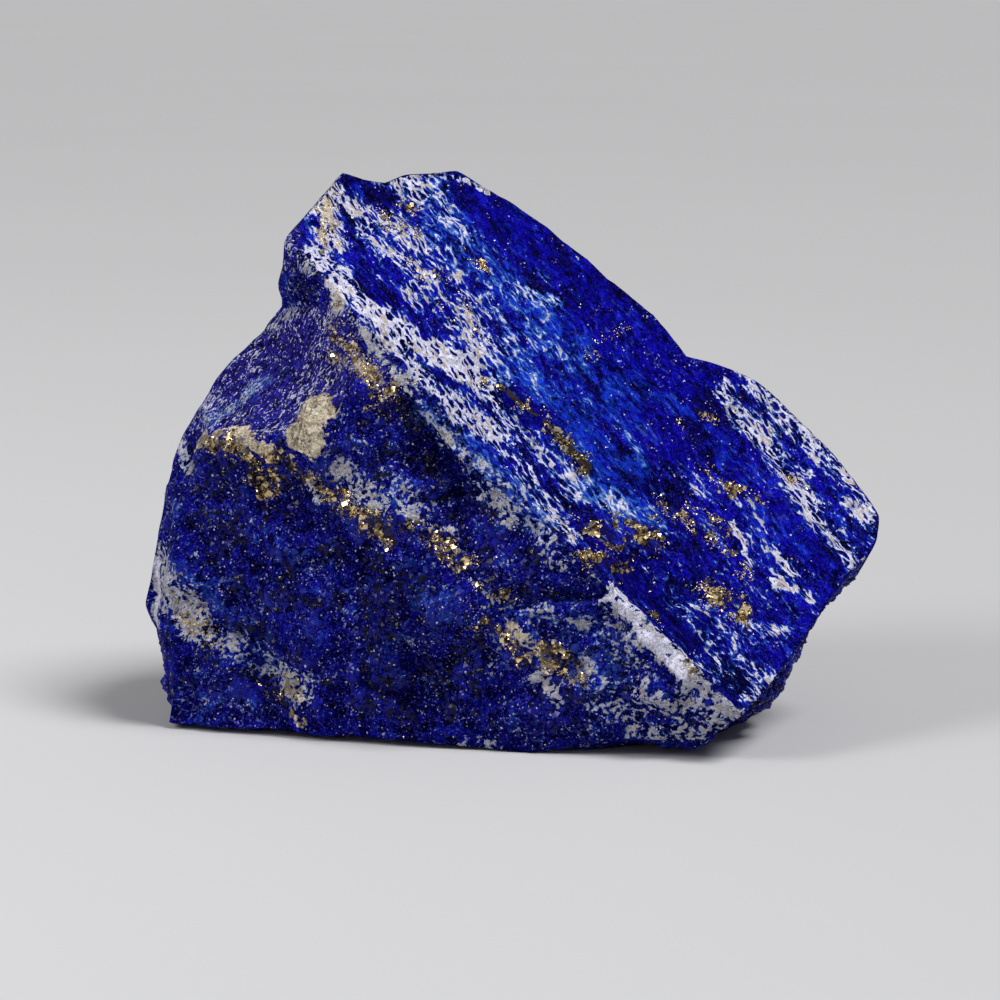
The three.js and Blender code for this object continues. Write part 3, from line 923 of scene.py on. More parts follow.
    def whites(
        self, rock: RockPattern, colour: bpy.types.NodeSocket
    ) -> tuple[bpy.types.NodeSocket, bpy.types.NodeSocket]:
        """Lays a pale haze and then the white over a colour, in a web between lenses of blue.

        Args:
            rock: The patterns.
            colour: What lies under the white.

        Returns:
            The new colour, and where it is white.
        """
        wiring, levels = rock.wiring, rock.levels
        filled = wiring.span(levels[Mineral.CALCITE], *self.hole_rise)
        holes = wiring.mix(filled, *self.hole_depth, "FLOAT")
        ragged = wiring.total(
            (rock.web, rock.by_face(self.front_web, holes)),
            (rock.fine, rock.by_face(*self.fine_by_face)),
            start=rock.blend(self.whiteness),
        )
        hazy = rock.blend(self.around_white, ragged)
        strength = rock.by_face(*self.haze_by_face)
        azure = wiring.math("MULTIPLY", wiring.span(hazy, *self.azure_rise), strength)
        sky = wiring.math("MULTIPLY", wiring.span(hazy, *self.sky_rise), strength)
        colour = wiring.mix(sky, wiring.mix(azure, colour, self.azure), self.sky)
        solid = wiring.span(levels[Mineral.CALCITE], *self.pure_rise)
        white = wiring.mix(wiring.math("MAXIMUM", rock.layered, solid), self.grey, self.white)
        clean = wiring.span(levels[Mineral.CALCITE], *self.clean_rise)
        stained = rock.blend(self.stained, rock.chance[2])
        stained = wiring.span(wiring.total((clean, -self.clean_loss), start=stained), *self.stain_rise)
        stained = wiring.math("MULTIPLY", stained, rock.by_face(*self.stains_by_face))
        white = wiring.mix(stained, white, self.stain)
        white = wiring.scaled(white, rock.blend(self.white_shade))
        white_share = wiring.span(ragged, *self.white_rise)
        return wiring.mix(white_share, colour, white), white_share

    def strokes(self, rock: RockPattern, colour: bpy.types.NodeSocket) -> bpy.types.NodeSocket:
        """Paints broken bright lines along the grains' borders, close together on the shoulder: painted
        glints.

        Args:
            rock: The patterns.
            colour: What lies under the lines.

        Returns:
            The new colour.
        """
        wiring = rock.wiring
        thin = wiring.span(rock.blend(self.stroke_rim, rock.rim), *self.stroke_rise)
        broken = wiring.span(rock.blend(self.stroke_breaks), *self.stroke_break)
        share = wiring.math("MULTIPLY", thin, broken)
        share = wiring.math("MULTIPLY", share, rock.blend(self.stroke_strength))
        share = wiring.math("MULTIPLY", share, rock.blend(self.stroke_night))
        return wiring.mix(share, colour, wiring.mix(rock.shoulder, self.sheen, self.glint))

    def crust(self, rock: RockPattern, colour: bpy.types.NodeSocket) -> bpy.types.NodeSocket:
        """Lays the cream crust over a colour, with painted shade in its hollows, and umber over darker rock
        and painted shade.

        Args:
            rock: The patterns.
            colour: What lies under the crust.

        Returns:
            The new colour.
        """
        wiring = rock.wiring
        level = rock.levels[Mineral.CRUST]
        share = wiring.span(rock.blend(self.crusty), *self.crust_rise)
        share = wiring.math("MULTIPLY", share, wiring.span(level, *self.crust_edge))
        # Painted shade: the crust is darker in its hollows.
        hollow = wiring.span(rock.blend(self.crust_hollow), *self.cream_rise)
        cream = wiring.mix(hollow, self.ochre, self.cream)
        shade = rock.blend(self.cream_shade)
        # The crust turns umber over darker rock and where shade is painted.
        in_dark_rock_and_shade = wiring.span(rock.levels[Mineral.NIGHT], *self.umber_rise)
        cream = wiring.mix(in_dark_rock_and_shade, wiring.scaled(cream, shade), self.umber)
        return wiring.mix(share, colour, cream)

    def specks(
        self, rock: RockPattern, colour: bpy.types.NodeSocket
    ) -> tuple[bpy.types.NodeSocket, bpy.types.NodeSocket]:
        """Strews fine gold and painted glints over a colour, with brown among the gold.

        Args:
            rock: The patterns.
            colour: What lies between the specks.

        Returns:
            The new colour, and where it is metal.
        """
        wiring, levels = rock.wiring, rock.levels
        luck = rock.dust_luck
        brown = wiring.span(rock.blend(self.brownish), *self.brown_rise)
        brown = wiring.math("MULTIPLY", brown, rock.by_face(*self.brown_by_face))
        colour = wiring.mix(brown, colour, self.umber)
        crowded = wiring.span(rock.clumps, *self.gold_clumps)
        odds = wiring.math("MULTIPLY", levels[Mineral.PYRITE], crowded)
        odds = wiring.math("MULTIPLY", odds, self.gold_odds)
        gold = wiring.math("LESS_THAN", luck[0], odds)
        colour = wiring.mix(gold, colour, self.gold)
        # Painted glints: pale specks in the colour, brighter in a few.
        dull = wiring.math("SUBTRACT", 1.0, rock.blend(self.sparkling))
        glints = wiring.math("GREATER_THAN", luck[1], dull)
        glints = wiring.math("MULTIPLY", glints, wiring.math("MULTIPLY", luck[2], luck[2]))
        return wiring.mix(glints, colour, self.glint), gold

    def broken_normal(self, rock: RockPattern) -> bpy.types.NodeSocket:
        """Tilts every grain of the rock its own way, over a fine bump.

        Args:
            rock: The patterns.

        Returns:
            The normal.
        """
        wiring = rock.wiring
        bump = wiring.add("ShaderNodeBump")
        bump.inputs["Distance"].default_value = self.bump_depth * MM
        bump.inputs["Strength"].default_value = 1.0
        height = wiring.total(
            (rock.chips.outputs["Distance"], -self.chip_dome),
            (rock.flakes.outputs["Distance"], -self.flake_dome),
        )
        height = wiring.math("MULTIPLY", height, rock.by_face(*self.domes_by_face))
        wiring.feed(bump.inputs["Height"], rock.blend(self.soft_bump, height))
        tilt = wiring.vector("SUBTRACT", rock.flakes.outputs["Color"], MIDDLE)
        tilted = wiring.vector("ADD", bump.outputs["Normal"], wiring.scaled(tilt, self.tilt_flakes))
        lean = wiring.vector("SUBTRACT", rock.chips.outputs["Color"], MIDDLE)
        amount = rock.by_face(*self.tilt_chips_by_face)
        tilted = wiring.vector("ADD", tilted, wiring.scaled(lean, amount))
        return wiring.vector("NORMALIZE", tilted)

    def build(self) -> bpy.types.Material:
        """Makes the material.

        Returns:
            The finished material, for the stone's mesh and its attributes.
        """
        material, wiring, shader = new_material("lapis_rock")
        rock = RockPattern(wiring, self.pattern)
        colour, white = self.whites(rock, self.strokes(rock, self.blues(rock)))
        colour, metal = self.specks(rock, self.crust(rock, colour))
        dull = wiring.mix(white, self.roughness, self.roughness + self.white_dullness, "FLOAT")
        wiring.feed(shader.inputs["Base Color"], colour)
        wiring.feed(shader.inputs["Metallic"], metal)
        wiring.feed(shader.inputs["Roughness"], wiring.mix(metal, dull, self.metal_roughness, "FLOAT"))
        wiring.feed(shader.inputs["Normal"], self.broken_normal(rock))
        shader.inputs["Specular IOR Level"].default_value = self.gloss
        return material


@dataclass(frozen=True)
class CrystalFinish:
    """Small grains of one mineral, each in its own tone and darker in blotches.

    Colours are linear, the sizes of blotch and painted glint in millimetres.
    """

    name: str
    bright: Colour
    dark: Colour
    metallic: float
    roughness: float
    blotch: float = 0.6
    gloss: float = 0.5
    night_loss: float = 0.6
    tone_swing: float = 1.0
    hollow_loss: float = 0.0
    glint: Colour = (0.60, 0.60, 0.74)
    glint_share: float = 0.0
    glint_size: float = 0.14
    haze: Optional[Colour] = None
    haze_blotch: float = 0.15
    haze_tone: float = 0.3
    haze_rise: Span = (0.3, 0.9)
    bright_rise: Span = (-1.4, 0.9)
    blotch_detail: float = 2.0

    def build(self) -> bpy.types.Material:
        """Makes the material.

        Returns:
            The finished material, for the grains.
        """
        material, wiring, shader = new_material(self.name)
        blotches = wiring.swing(own_place(wiring, self.blotch * MM), self.blotch_detail)
        levels = {
            name: wiring.add("ShaderNodeAttribute", attribute_name=name).outputs["Fac"]
            for name in (GRAIN_TONE, NIGHT.value, PALE.value, Zone.RELIEF.value)
        }
        # The relief paints shade into the grains' hollows.
        tone = wiring.total(
            (levels[GRAIN_TONE], 2.0 * self.tone_swing),
            (levels[Zone.RELIEF.value], self.hollow_loss),
            start=wiring.math("SUBTRACT", blotches, self.tone_swing),
        )
        bright = self.bright
        if self.haze is not None:
            hazy = wiring.total(
                (blotches, self.haze_blotch),
                (levels[GRAIN_TONE], self.haze_tone),
                start=levels[PALE.value],
            )
            bright = wiring.mix(wiring.span(hazy, *self.haze_rise), self.bright, self.haze)
        colour = wiring.mix(wiring.span(tone, *self.bright_rise), self.dark, bright)
        # Painted glints on the grains: pale specks in the colour.
        luck = wiring.parts(wiring.cells(own_place(wiring, self.glint_size * MM)).outputs["Color"])
        glints = wiring.math("GREATER_THAN", luck[0], 1.0 - self.glint_share)
        glints = wiring.math("MULTIPLY", glints, wiring.math("MULTIPLY", luck[1], luck[1]))
        colour = wiring.mix(glints, colour, self.glint)
        # Painted shade, and darker rock, where the stone is marked dark.
        light = wiring.total((levels[NIGHT.value], -self.night_loss), start=1.0)
        wiring.feed(shader.inputs["Base Color"], wiring.scaled(colour, light))
        shader.inputs["Specular IOR Level"].default_value = self.gloss
        shader.inputs["Metallic"].default_value = self.metallic
        shader.inputs["Roughness"].default_value = self.roughness
        return material


BLUE_FINISH = CrystalFinish(
    "blue_crystals",
    bright=(0.0042, 0.0047, 0.208),
    dark=(0.0008, 0.0008, 0.024),
    metallic=0.0,
    roughness=0.28,
    blotch=1.3,
    gloss=0.16,
    tone_swing=1.6,
    hollow_loss=1.4,
    glint_share=0.022,
    glint_size=0.19,
    haze=(0.008, 0.028, 0.23),
)
# Glint crystals are real glossy grains, and their pale colour is in part a painted glint.
GLINT_FINISH = CrystalFinish(
    "glint_crystals",
    bright=(0.22, 0.23, 0.44),
    dark=(0.004, 0.005, 0.14),
    metallic=0.0,
    roughness=0.2,
    gloss=0.5,
    tone_swing=1.6,
)
PYRITE_FINISH = CrystalFinish(
    "pyrite",
    bright=(0.78, 0.62, 0.36),
    dark=(0.17, 0.115, 0.06),
    metallic=1.0,
    roughness=0.27,
)
CRUST_FINISH = CrystalFinish(
    "crust_grains",
    bright=(0.64, 0.57, 0.46),
    dark=(0.16, 0.12, 0.075),
    metallic=0.0,
    roughness=0.4,
)


@dataclass(frozen=True)
class FloorFinish:
    """Plain pale matt floor. Colours are linear, the mottle in metres."""

    light: Colour = (0.60, 0.60, 0.61)
    shade: Colour = (0.57, 0.57, 0.58)
    roughness: float = 0.8
    mottle: float = 0.2

    def build(self) -> bpy.types.Material:
        """Makes the material.

        Returns:
            The finished material, for the floor.
        """
        material, wiring, shader = new_material("pale_floor")
        mottling = wiring.noise(own_place(wiring, self.mottle)).outputs[0]
        wiring.feed(shader.inputs["Base Color"], wiring.mix(mottling, self.shade, self.light))
        shader.inputs["Roughness"].default_value = self.roughness
        return material


class GrowthTree:
    """A Geometry Nodes tree with named inputs, made ready for one modifier."""

    def __init__(self, name: str, inputs: dict[str, tuple[str, object]]) -> None:
        """Makes the tree and its inputs.

        Args:
            name: The tree's name.
            inputs: For each input, its socket type and the value that the modifier gives it.
        """
        self.tree = bpy.data.node_groups.new(name, "GeometryNodeTree")
        face = self.tree.interface
        face.new_socket("Geometry", in_out="INPUT", socket_type="NodeSocketGeometry")
        face.new_socket("Geometry", in_out="OUTPUT", socket_type="NodeSocketGeometry")
        self.values = {}
        for label, (kind, value) in inputs.items():
            socket = face.new_socket(label, in_out="INPUT", socket_type=kind)
            self.values[socket.identifier] = value
        self.wiring = Wiring(self.tree)
        self.inputs = self.wiring.add("NodeGroupInput").outputs

    def named(self, option: Union[Mineral, Zone]) -> bpy.types.NodeSocket:
        """Reads a mesh attribute as a number.

        Args:
            option: The mineral or zone that the attribute is named for.

        Returns:
            The number.
        """
        node = self.wiring.add("GeometryNodeInputNamedAttribute", data_type="FLOAT")
        node.inputs["Name"].default_value = option.value
        return node.outputs["Attribute"]

    def random(self, low: Feed, high: Feed, seed: int, kind: str = "FLOAT") -> bpy.types.NodeSocket:
        """Adds a random value for each point.

        Args:
            low: The lowest value.
            high: The highest value.
            seed: The seed of this value.
            kind: The Random Value node's data type.

        Returns:
            The random value.
        """
        node = self.wiring.add("FunctionNodeRandomValue", data_type=kind)
        shown = [socket for socket in node.inputs if socket.enabled]
        self.wiring.feed(shown[0], low)
        self.wiring.feed(shown[1], high)
        node.inputs["Seed"].default_value = seed
        return next(socket for socket in node.outputs if socket.enabled)

    def facets(self, place: Feed, size: Feed) -> bpy.types.NodeSocket:
        """Makes flat cells that each tilt their own way.

        Args:
            place: Where to read the cells.
            size: Their size, in the unit of the place.

        Returns:
            The cells' height, in units of their size.
        """
        wiring = self.wiring
        scaled = wiring.vector("DIVIDE", place, size)
        cells = wiring.cells(scaled)
        reach = wiring.vector("SUBTRACT", scaled, cells.outputs["Position"])
        tilt = wiring.vector("SUBTRACT", cells.outputs["Color"], MIDDLE)
        return wiring.vector("DOT_PRODUCT", reach, tilt)

    def stored(
        self, geometry: bpy.types.NodeSocket, name: str, value: bpy.types.NodeSocket, domain: str
    ) -> bpy.types.NodeSocket:
        """Writes a number into an attribute.

        Args:
            geometry: What gets the attribute.
            name: The attribute's name.
            value: The number.
            domain: What the attribute belongs to, such as POINT or INSTANCE.

        Returns:
            The geometry with its attribute.
        """
        node = self.wiring.add("GeometryNodeStoreNamedAttribute", data_type="FLOAT", domain=domain)
        node.inputs["Name"].default_value = name
        self.wiring.feed(node.inputs["Geometry"], geometry)
        shown = next(socket for socket in node.inputs if socket.name == "Value" and socket.enabled)
        self.wiring.feed(shown, value)
        return node.outputs["Geometry"]

    def close(self, geometry: bpy.types.NodeSocket) -> None:
        """Realizes what is in the tree, gives it the Material input and sends it out.

        Args:
            geometry: What the tree has made.
        """
        realize = self.wiring.add("GeometryNodeRealizeInstances")
        self.wiring.feed(realize.inputs["Geometry"], geometry)
        dress = self.wiring.add("GeometryNodeSetMaterial")
        self.wiring.feed(dress.inputs["Geometry"], realize.outputs["Geometry"])
        self.wiring.feed(dress.inputs["Material"], self.inputs["Material"])
        self.wiring.feed(self.wiring.add("NodeGroupOutput").inputs[0], dress.outputs["Geometry"])

    def run_on(self, mesh: bpy.types.Mesh, name: str) -> bpy.types.Mesh:
        """Runs the tree on a mesh.

        Args:
            mesh: What goes in. It isn't changed.
            name: The name of the result.

        Returns:
            A plain mesh.
        """
        carrier = bpy.data.objects.new(name, mesh)
        bpy.context.scene.collection.objects.link(carrier)
        modifier = carrier.modifiers.new(name, "NODES")
        modifier.node_group = self.tree
        for identifier, value in self.values.items():
            modifier[identifier] = value
        result = plain_mesh(carrier, name)
        bpy.data.objects.remove(carrier)
        return result


def plain_mesh(piece: bpy.types.Object, name: str) -> bpy.types.Mesh:
    """Bakes an object's modifiers.

    Args:
        piece: An object with modifiers.
        name: The name of the result.

    Returns:
        A new mesh with what the modifiers make, its attributes included.
    """
    graph = bpy.context.evaluated_depsgraph_get()
    shown = piece.evaluated_get(graph)
    mesh = bpy.data.meshes.new_from_object(shown, preserve_all_data_layers=True, depsgraph=graph)
    mesh.name = name
    return mesh


def vectors_of(mesh: bpy.types.Mesh, field: str = "vertices", key: str = "co") -> np.ndarray:
    """Reads one vector of each vertex of a mesh.

    Args:
        mesh: The mesh.
        field: The mesh's list to read.
        key: The vector's name in that list.

    Returns:
        An array of three columns.
    """
    items = getattr(mesh, field)
    flat = np.empty(len(items) * 3, np.float32)
    items.foreach_get(key, flat)
    return flat.reshape(-1, 3).astype(float)


def keep_in_box(mesh: bpy.types.Mesh) -> None:
    """Holds every vertex of a mesh inside the stone's own box.

    Args:
        mesh: The mesh, which is changed.
    """
    low, high = (np.array(corner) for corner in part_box(STONE_NODE))
    held = np.clip(vectors_of(mesh), low, high)
    mesh.vertices.foreach_set("co", held.astype(np.float32).ravel())
    mesh.update()


def finished_piece(mesh: bpy.types.Mesh, name: str) -> bpy.types.Object:
    """Puts a mesh in the scene as a piece that rides on the stone's body.

    Args:
        mesh: The piece's mesh.
        name: The piece's name.

    Returns:
        The piece's object.
    """
    piece = bpy.data.objects.new(name, mesh)
    bpy.context.scene.collection.objects.link(piece)
    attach(piece, STONE_BODY)
    return piece


@dataclass
class Stone:
    """The block of rock. Sizes and heights are in millimetres, angles in degrees.

    A facing is a rise of the cosine between a surface and a direction.
    """

    view: PhotoCamera
    finish: LapisFinish
    sharp_turn: float = 30.0
    sharpness: float = 0.75
    subdivisions: int = 2
    lump_size: float = 4.5
    lump_height: float = 0.22
    chip_size: float = 3.8
    chip_tilt: float = 0.6
    grain_size: float = 1.2
    grain_tilt: float = 0.6
    pit_size: float = 2.4
    pit_depth: float = 0.38
    layer_sizes: Sizes = (13.0, 2.6, 2.6)
    layer_height: float = 1.3
    thin_layer_sizes: Sizes = (5.0, 1.0, 1.0)
    thin_layer_height: float = 0.5
    brush_sizes: Sizes = (3.0, 0.9, 0.9)
    brush_height: float = 0.45
    hidden_share: float = 0.6
    crust_size: float = 1.2
    crust_height: float = 1.0
    base_hold: float = 1.2
    softening: int = 2
    band_sizes: Sizes = (30.0, 7.0, 11.0)
    band_rise: Span = (0.02, 0.55)
    fraying: tuple[Span, ...] = ((3.0, 0.5), (1.2, 0.4))
    merged_digits: int = 7
    mark_fade: Span = (1.6, 0.2)
    mark_facing: Span = (0.3, 0.7)
    layered_facing: Span = (0.78, 0.90)
    ridge_rise: Span = (-0.9, 0.4)
    shoulder_facing: Span = (0.82, 0.93)
    shoulder_rise: Span = (27.0, 31.0)
    seen_facing: Span = (-0.05, 0.2)
    shown_facing: Span = (-0.3, 0.2)
    pure_clearing: float = 0.85
    pure_fade: Span = (0.62, 0.48)
    least_white: float = 0.08
    layered_white: float = 0.12
    hidden_white: float = 0.15
    band_white: float = 0.47
    least_gold: float = 0.007
    band_gold: float = 0.42
    worn_white: float = 0.2
    worn_rise: Span = (14.0, 22.0)
    grain_rise: Span = (1.0, 3.0)
    grain_fade: Span = (0.6, 0.35)
    edge_bareness: float = 0.8
    hidden_grains: float = 0.45
    layered_calm: float = 0.88
    shoulder_calm: float = 0.6
    edge_calm: float = 0.85
    pit_rarity: float = 0.7
    pit_slope: Span = (0.42, 0.05)
    crust_dome: float = 0.9

    def rounded_block(self) -> bpy.types.Mesh:
        """Copies the solid, keeps its sharp edges and rounds the rest.

        Returns:
            A fine closed mesh of the block.
        """
        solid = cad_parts[STONE_NODE].data
        corners, index = np.unique(
            np.round(vectors_of(solid), self.merged_digits), axis=0, return_inverse=True
        )
        index = index.ravel()
        faces = [[int(index[v]) for v in polygon.vertices] for polygon in solid.polygons]
        mesh = bpy.data.meshes.new("rounded_block")
        mesh.from_pydata(corners.tolist(), [], faces)
        shape = bmesh.new()
        shape.from_mesh(mesh)
        crease = shape.edges.layers.float.new("crease_edge")
        near_edge = shape.verts.layers.float.new(Zone.EDGE.value)
        for edge in shape.edges:
            if edge.calc_face_angle(0.0) > math.radians(self.sharp_turn):
                edge[crease] = self.sharpness
                for corner in edge.verts:
                    corner[near_edge] = 1.0
        shape.to_mesh(mesh)
        shape.free()
        carrier = bpy.data.objects.new("rounded_block", mesh)
        bpy.context.scene.collection.objects.link(carrier)
        rounding = carrier.modifiers.new("rounding", "SUBSURF")
        rounding.levels = self.subdivisions
        rounding.render_levels = self.subdivisions
        fine = plain_mesh(carrier, "fine_block")
        bpy.data.objects.remove(carrier)
        return fine

    def hidden_bands(self, places: np.ndarray) -> np.ndarray:
        """Reads how the rock is banded where the photograph doesn't show it.

        Args:
            places: Places in millimetres.

        Returns:
            A level for each place, from 0 to 1: high in a white band.
        """
        axes = [np.array(axis) / size for axis, size in zip(LAYERING.axes(), self.band_sizes)]
        spots = places @ np.array(axes).T
        levels = np.array([rock_noise.noise(Vector(spot)) for spot in spots])
        return smooth_step(levels, *self.band_rise)

    def frays(self, places: np.ndarray) -> np.ndarray:
        """Works out how far the outlines of marks fray.

        Args:
            places: Places in millimetres.

        Returns:
            A number for each place, in widths of a mark.
        """
        total = np.zeros(len(places))
        for size, reach in self.fraying:
            total += [reach * rock_noise.noise(Vector(spot)) for spot in places / size]
        return total

    def mark_level(
        self, mark: Mark, target: BVHTree, points: np.ndarray, normals: np.ndarray, frays: np.ndarray
    ) -> np.ndarray:
        """Works out how much of its mineral a mark brings to each vertex.

        Args:
            mark: The mark.
            target: The stone's surface, for the photograph's rays.
            points: The vertices' places.
            normals: The vertices' normals.
            frays: How ragged the mark's outline is at each vertex.

        Returns:
            A level for each vertex, from 0 to the mark's amount.
        """
        hits = [target.ray_cast(self.view.eye(), self.view.ray(pixel)) for pixel in mark.path]
        hits = [hit for hit in hits if hit[0] is not None]
        if len(hits) < len(mark.path):
            LOG.warning("%s lies partly beside the stone", mark.name)
        level = np.zeros(len(points))
        for (start, start_normal, *_), (end, end_normal, *_) in zip(hits, hits[1:] or hits):
            run = np.array(end - start)
            reach = points - np.array(start)
            share = np.clip(reach @ run / max(run @ run, MM**3), 0.0, 1.0)
            away = np.linalg.norm(reach - share[:, None] * run, axis=1) / MM
            facing = normals @ np.array((start_normal + end_normal).normalized())
            near = smooth_step(away / mark.width + mark.ragged * frays, *self.mark_fade)
            level = np.maximum(level, near * smooth_step(facing, *self.mark_facing))
        return mark.amount * level

    def layered_zone(self, points: np.ndarray, normals: np.ndarray) -> np.ndarray:
        """Finds the banded face, which ends at the ridge.

        Args:
            points: The vertices' places.
            normals: The vertices' normals.

        Returns:
            A level for each vertex, 1 on the banded face.
        """
        layered = smooth_step(normals @ np.array(LAYERING.face_normal), *self.layered_facing)
        ridge = Layering(RIDGE_TOP, RIDGE_TOE, LAYERING.face_normal)
        past_ridge = (points / MM - np.array(RIDGE_TOP)) @ np.array(ridge.axes()[1])
        past_ridge = np.maximum(past_ridge, points[:, 2] / MM - RIDGE_TOP[2])
        return layered * smooth_step(past_ridge, *self.ridge_rise)

    def shoulder_zone(self, points: np.ndarray, normals: np.ndarray) -> np.ndarray:
        """Finds the shoulder.

        Args:
            points: The vertices' places.
            normals: The vertices' normals.

        Returns:
            A level for each vertex, 1 on the shoulder.
        """
        shoulder = smooth_step(normals @ np.array(SHOULDER_LAYERING.face_normal), *self.shoulder_facing)
        return shoulder * smooth_step(points[:, 2] / MM, *self.shoulder_rise)

    def mark_minerals(self, mesh: bpy.types.Mesh) -> None:
        """Writes how much of each mineral is at each vertex, and which face it lies on.

        Args:
            mesh: The block's fine mesh, which gets the attributes.
        """
        points = vectors_of(mesh)
        normals = vectors_of(mesh, "vertex_normals", "vector")
        target = BVHTree.FromPolygons([Vector(p) for p in points], [p.vertices[:] for p in mesh.polygons])
        frays = self.frays(points / MM)
        levels: dict[Union[Mineral, Zone], np.ndarray] = {
            mineral: np.zeros(len(points)) for mineral in Mineral
        }
        for mark in MARKS:
            level = self.mark_level(mark, target, points, normals, frays)
            levels[mark.mineral] = np.maximum(levels[mark.mineral], level)
        heights = points[:, 2] / MM
        edge = np.empty(len(points), np.float32)
        mesh.attributes[Zone.EDGE.value].data.foreach_get("value", edge)
        layered = self.layered_zone(points, normals)
        shoulder = self.shoulder_zone(points, normals)
        seen = smooth_step(normals @ np.array(self.view.back()), *self.seen_facing)
        bands = self.hidden_bands(points / MM)
        clear = 1.0 - self.pure_clearing * levels[DEEP] * smooth_step(levels[CALCITE], *self.pure_fade)
        marked = np.maximum(levels[CALCITE], self.least_white + self.layered_white * layered) * clear
        hidden = (1.0 - seen) * (self.hidden_white + self.band_white * bands)
        levels[CALCITE] = np.maximum(marked * seen, hidden)
        gold = self.least_gold + self.band_gold * bands * (1.0 - seen)
        levels[PYRITE] = np.maximum(levels[PYRITE], gold)
        # Painted highlight: white along the upper edges that face the camera.
        levels[CALCITE] += self.worn_white * edge * seen * smooth_step(heights, *self.worn_rise)
        rough = (1.0 - layered) * (1.0 - shoulder) * (1.0 - np.clip(levels[CRUST], 0.0, 1.0))
        rough *= smooth_step(heights, *self.grain_rise) * (1.0 - self.edge_bareness * edge)
        rough *= smooth_step(levels[CALCITE], *self.grain_fade)
        rough *= self.hidden_grains + (1.0 - self.hidden_grains) * seen
        levels.update({Zone.LAYERED: layered, Zone.SHOULDER: shoulder, Zone.ROUGH: rough})
        for option, level in levels.items():
            attribute = mesh.attributes.new(option.value, "FLOAT", "POINT")
            attribute.data.foreach_set("value", level.astype(np.float32))

    def breaking(self, material: bpy.types.Material) -> GrowthTree:
        """Makes the tree that breaks the surface into chips, grains, pits, layers and crust.

        Args:
            material: The rock's material.

        Returns:
            The tree, ready to run on the block.
        """
        length = "NodeSocketFloat"
        nodes = GrowthTree(
            "broken_rock",
            {
                "Lump size": (length, self.lump_size),
                "Lump height": (length, self.lump_height),
                "Chip size": (length, self.chip_size),
                "Chip tilt": (length, self.chip_tilt),
                "Grain size": (length, self.grain_size),
                "Grain tilt": (length, self.grain_tilt),
                "Pit size": (length, self.pit_size),
                "Pit depth": (length, self.pit_depth),
                "Layer sizes": ("NodeSocketVector", self.layer_sizes),
                "Layer height": (length, self.layer_height),
                "Thin layer sizes": ("NodeSocketVector", self.thin_layer_sizes),
                "Thin layer height": (length, self.thin_layer_height),
                "Brush sizes": ("NodeSocketVector", self.brush_sizes),
                "Brush height": (length, self.brush_height),
                "Crust size": (length, self.crust_size),
                "Crust height": (length, self.crust_height),
                "Softening": ("NodeSocketInt", self.softening),
                "Material": ("NodeSocketMaterial", material),
            },
        )
        wiring, sizes = nodes.wiring, nodes.inputs
        place = wiring.scaled(wiring.add("GeometryNodeInputPosition").outputs[0], 1.0 / MM)
        layered = nodes.named(Zone.LAYERED)
        rough = wiring.total(
            (layered, -self.layered_calm),
            (nodes.named(Zone.SHOULDER), -self.shoulder_calm),
            start=1.0,
        )
        held = wiring.total((nodes.named(Zone.EDGE), -self.edge_calm), start=1.0)
        rough = wiring.math("MULTIPLY", rough, held)
        normal = wiring.add("GeometryNodeInputNormal").outputs[0]
        facing = wiring.vector("DOT_PRODUCT", normal, self.view.back())
        shown = wiring.span(facing, *self.shown_facing)
        rough = wiring.math("MULTIPLY", rough, wiring.mix(shown, self.hidden_share, 1.0, "FLOAT"))
        chips = wiring.math("MULTIPLY", nodes.facets(place, sizes["Chip size"]), sizes["Chip size"])
        grains = wiring.math("MULTIPLY", nodes.facets(place, sizes["Grain size"]), sizes["Grain size"])
        broken = wiring.total((chips, sizes["Chip tilt"]), (grains, sizes["Grain tilt"]))
        holes = wiring.cells(wiring.vector("DIVIDE", place, sizes["Pit size"]))
        luck = wiring.parts(holes.outputs["Color"])[0]
        chosen = wiring.math("GREATER_THAN", luck, self.pit_rarity)
        pits = wiring.math("MULTIPLY", wiring.span(holes.outputs["Distance"], *self.pit_slope), chosen)
        broken = wiring.math("SUBTRACT", broken, wiring.math("MULTIPLY", pits, sizes["Pit depth"]))
        lumps = wiring.swing(wiring.vector("DIVIDE", place, sizes["Lump size"]))
        flow = LAYERING.coordinates(wiring, place)
        thick = nodes.facets(flow, sizes["Layer sizes"])
        thin = nodes.facets(flow, sizes["Thin layer sizes"])
        layers = wiring.total((thick, sizes["Layer height"]), (thin, sizes["Thin layer height"]))
        brush = nodes.facets(SHOULDER_LAYERING.coordinates(wiring, place), sizes["Brush sizes"])
        brush = wiring.math("MULTIPLY", brush, nodes.named(Zone.SHOULDER))
        knobs = wiring.cells(wiring.vector("DIVIDE", place, sizes["Crust size"])).outputs["Distance"]
        domes = wiring.math("SUBTRACT", self.crust_dome, knobs)
        crust = wiring.math("MULTIPLY", nodes.named(Mineral.CRUST), domes)
        height = wiring.total(
            (broken, rough),
            (wiring.math("MULTIPLY", lumps, rough), sizes["Lump height"]),
            (wiring.math("MULTIPLY", layers, layered), held),
            (brush, sizes["Brush height"]),
            (crust, sizes["Crust height"]),
        )
        free = wiring.span(wiring.parts(place)[2], 0.0, self.base_hold)
        soften = wiring.add("GeometryNodeBlurAttribute", data_type="FLOAT")
        wiring.feed(soften.inputs[0], wiring.math("MULTIPLY", height, free))
        wiring.feed(soften.inputs["Iterations"], sizes["Softening"])
        height = soften.outputs[0]
        kept = nodes.stored(sizes["Geometry"], Zone.RELIEF.value, height, "POINT")
        height = wiring.math("MULTIPLY", height, MM)
        move = wiring.add("GeometryNodeSetPosition")
        wiring.feed(move.inputs["Geometry"], kept)
        wiring.feed(move.inputs["Offset"], wiring.scaled(normal, height))
        nodes.close(move.outputs["Geometry"])
        return nodes

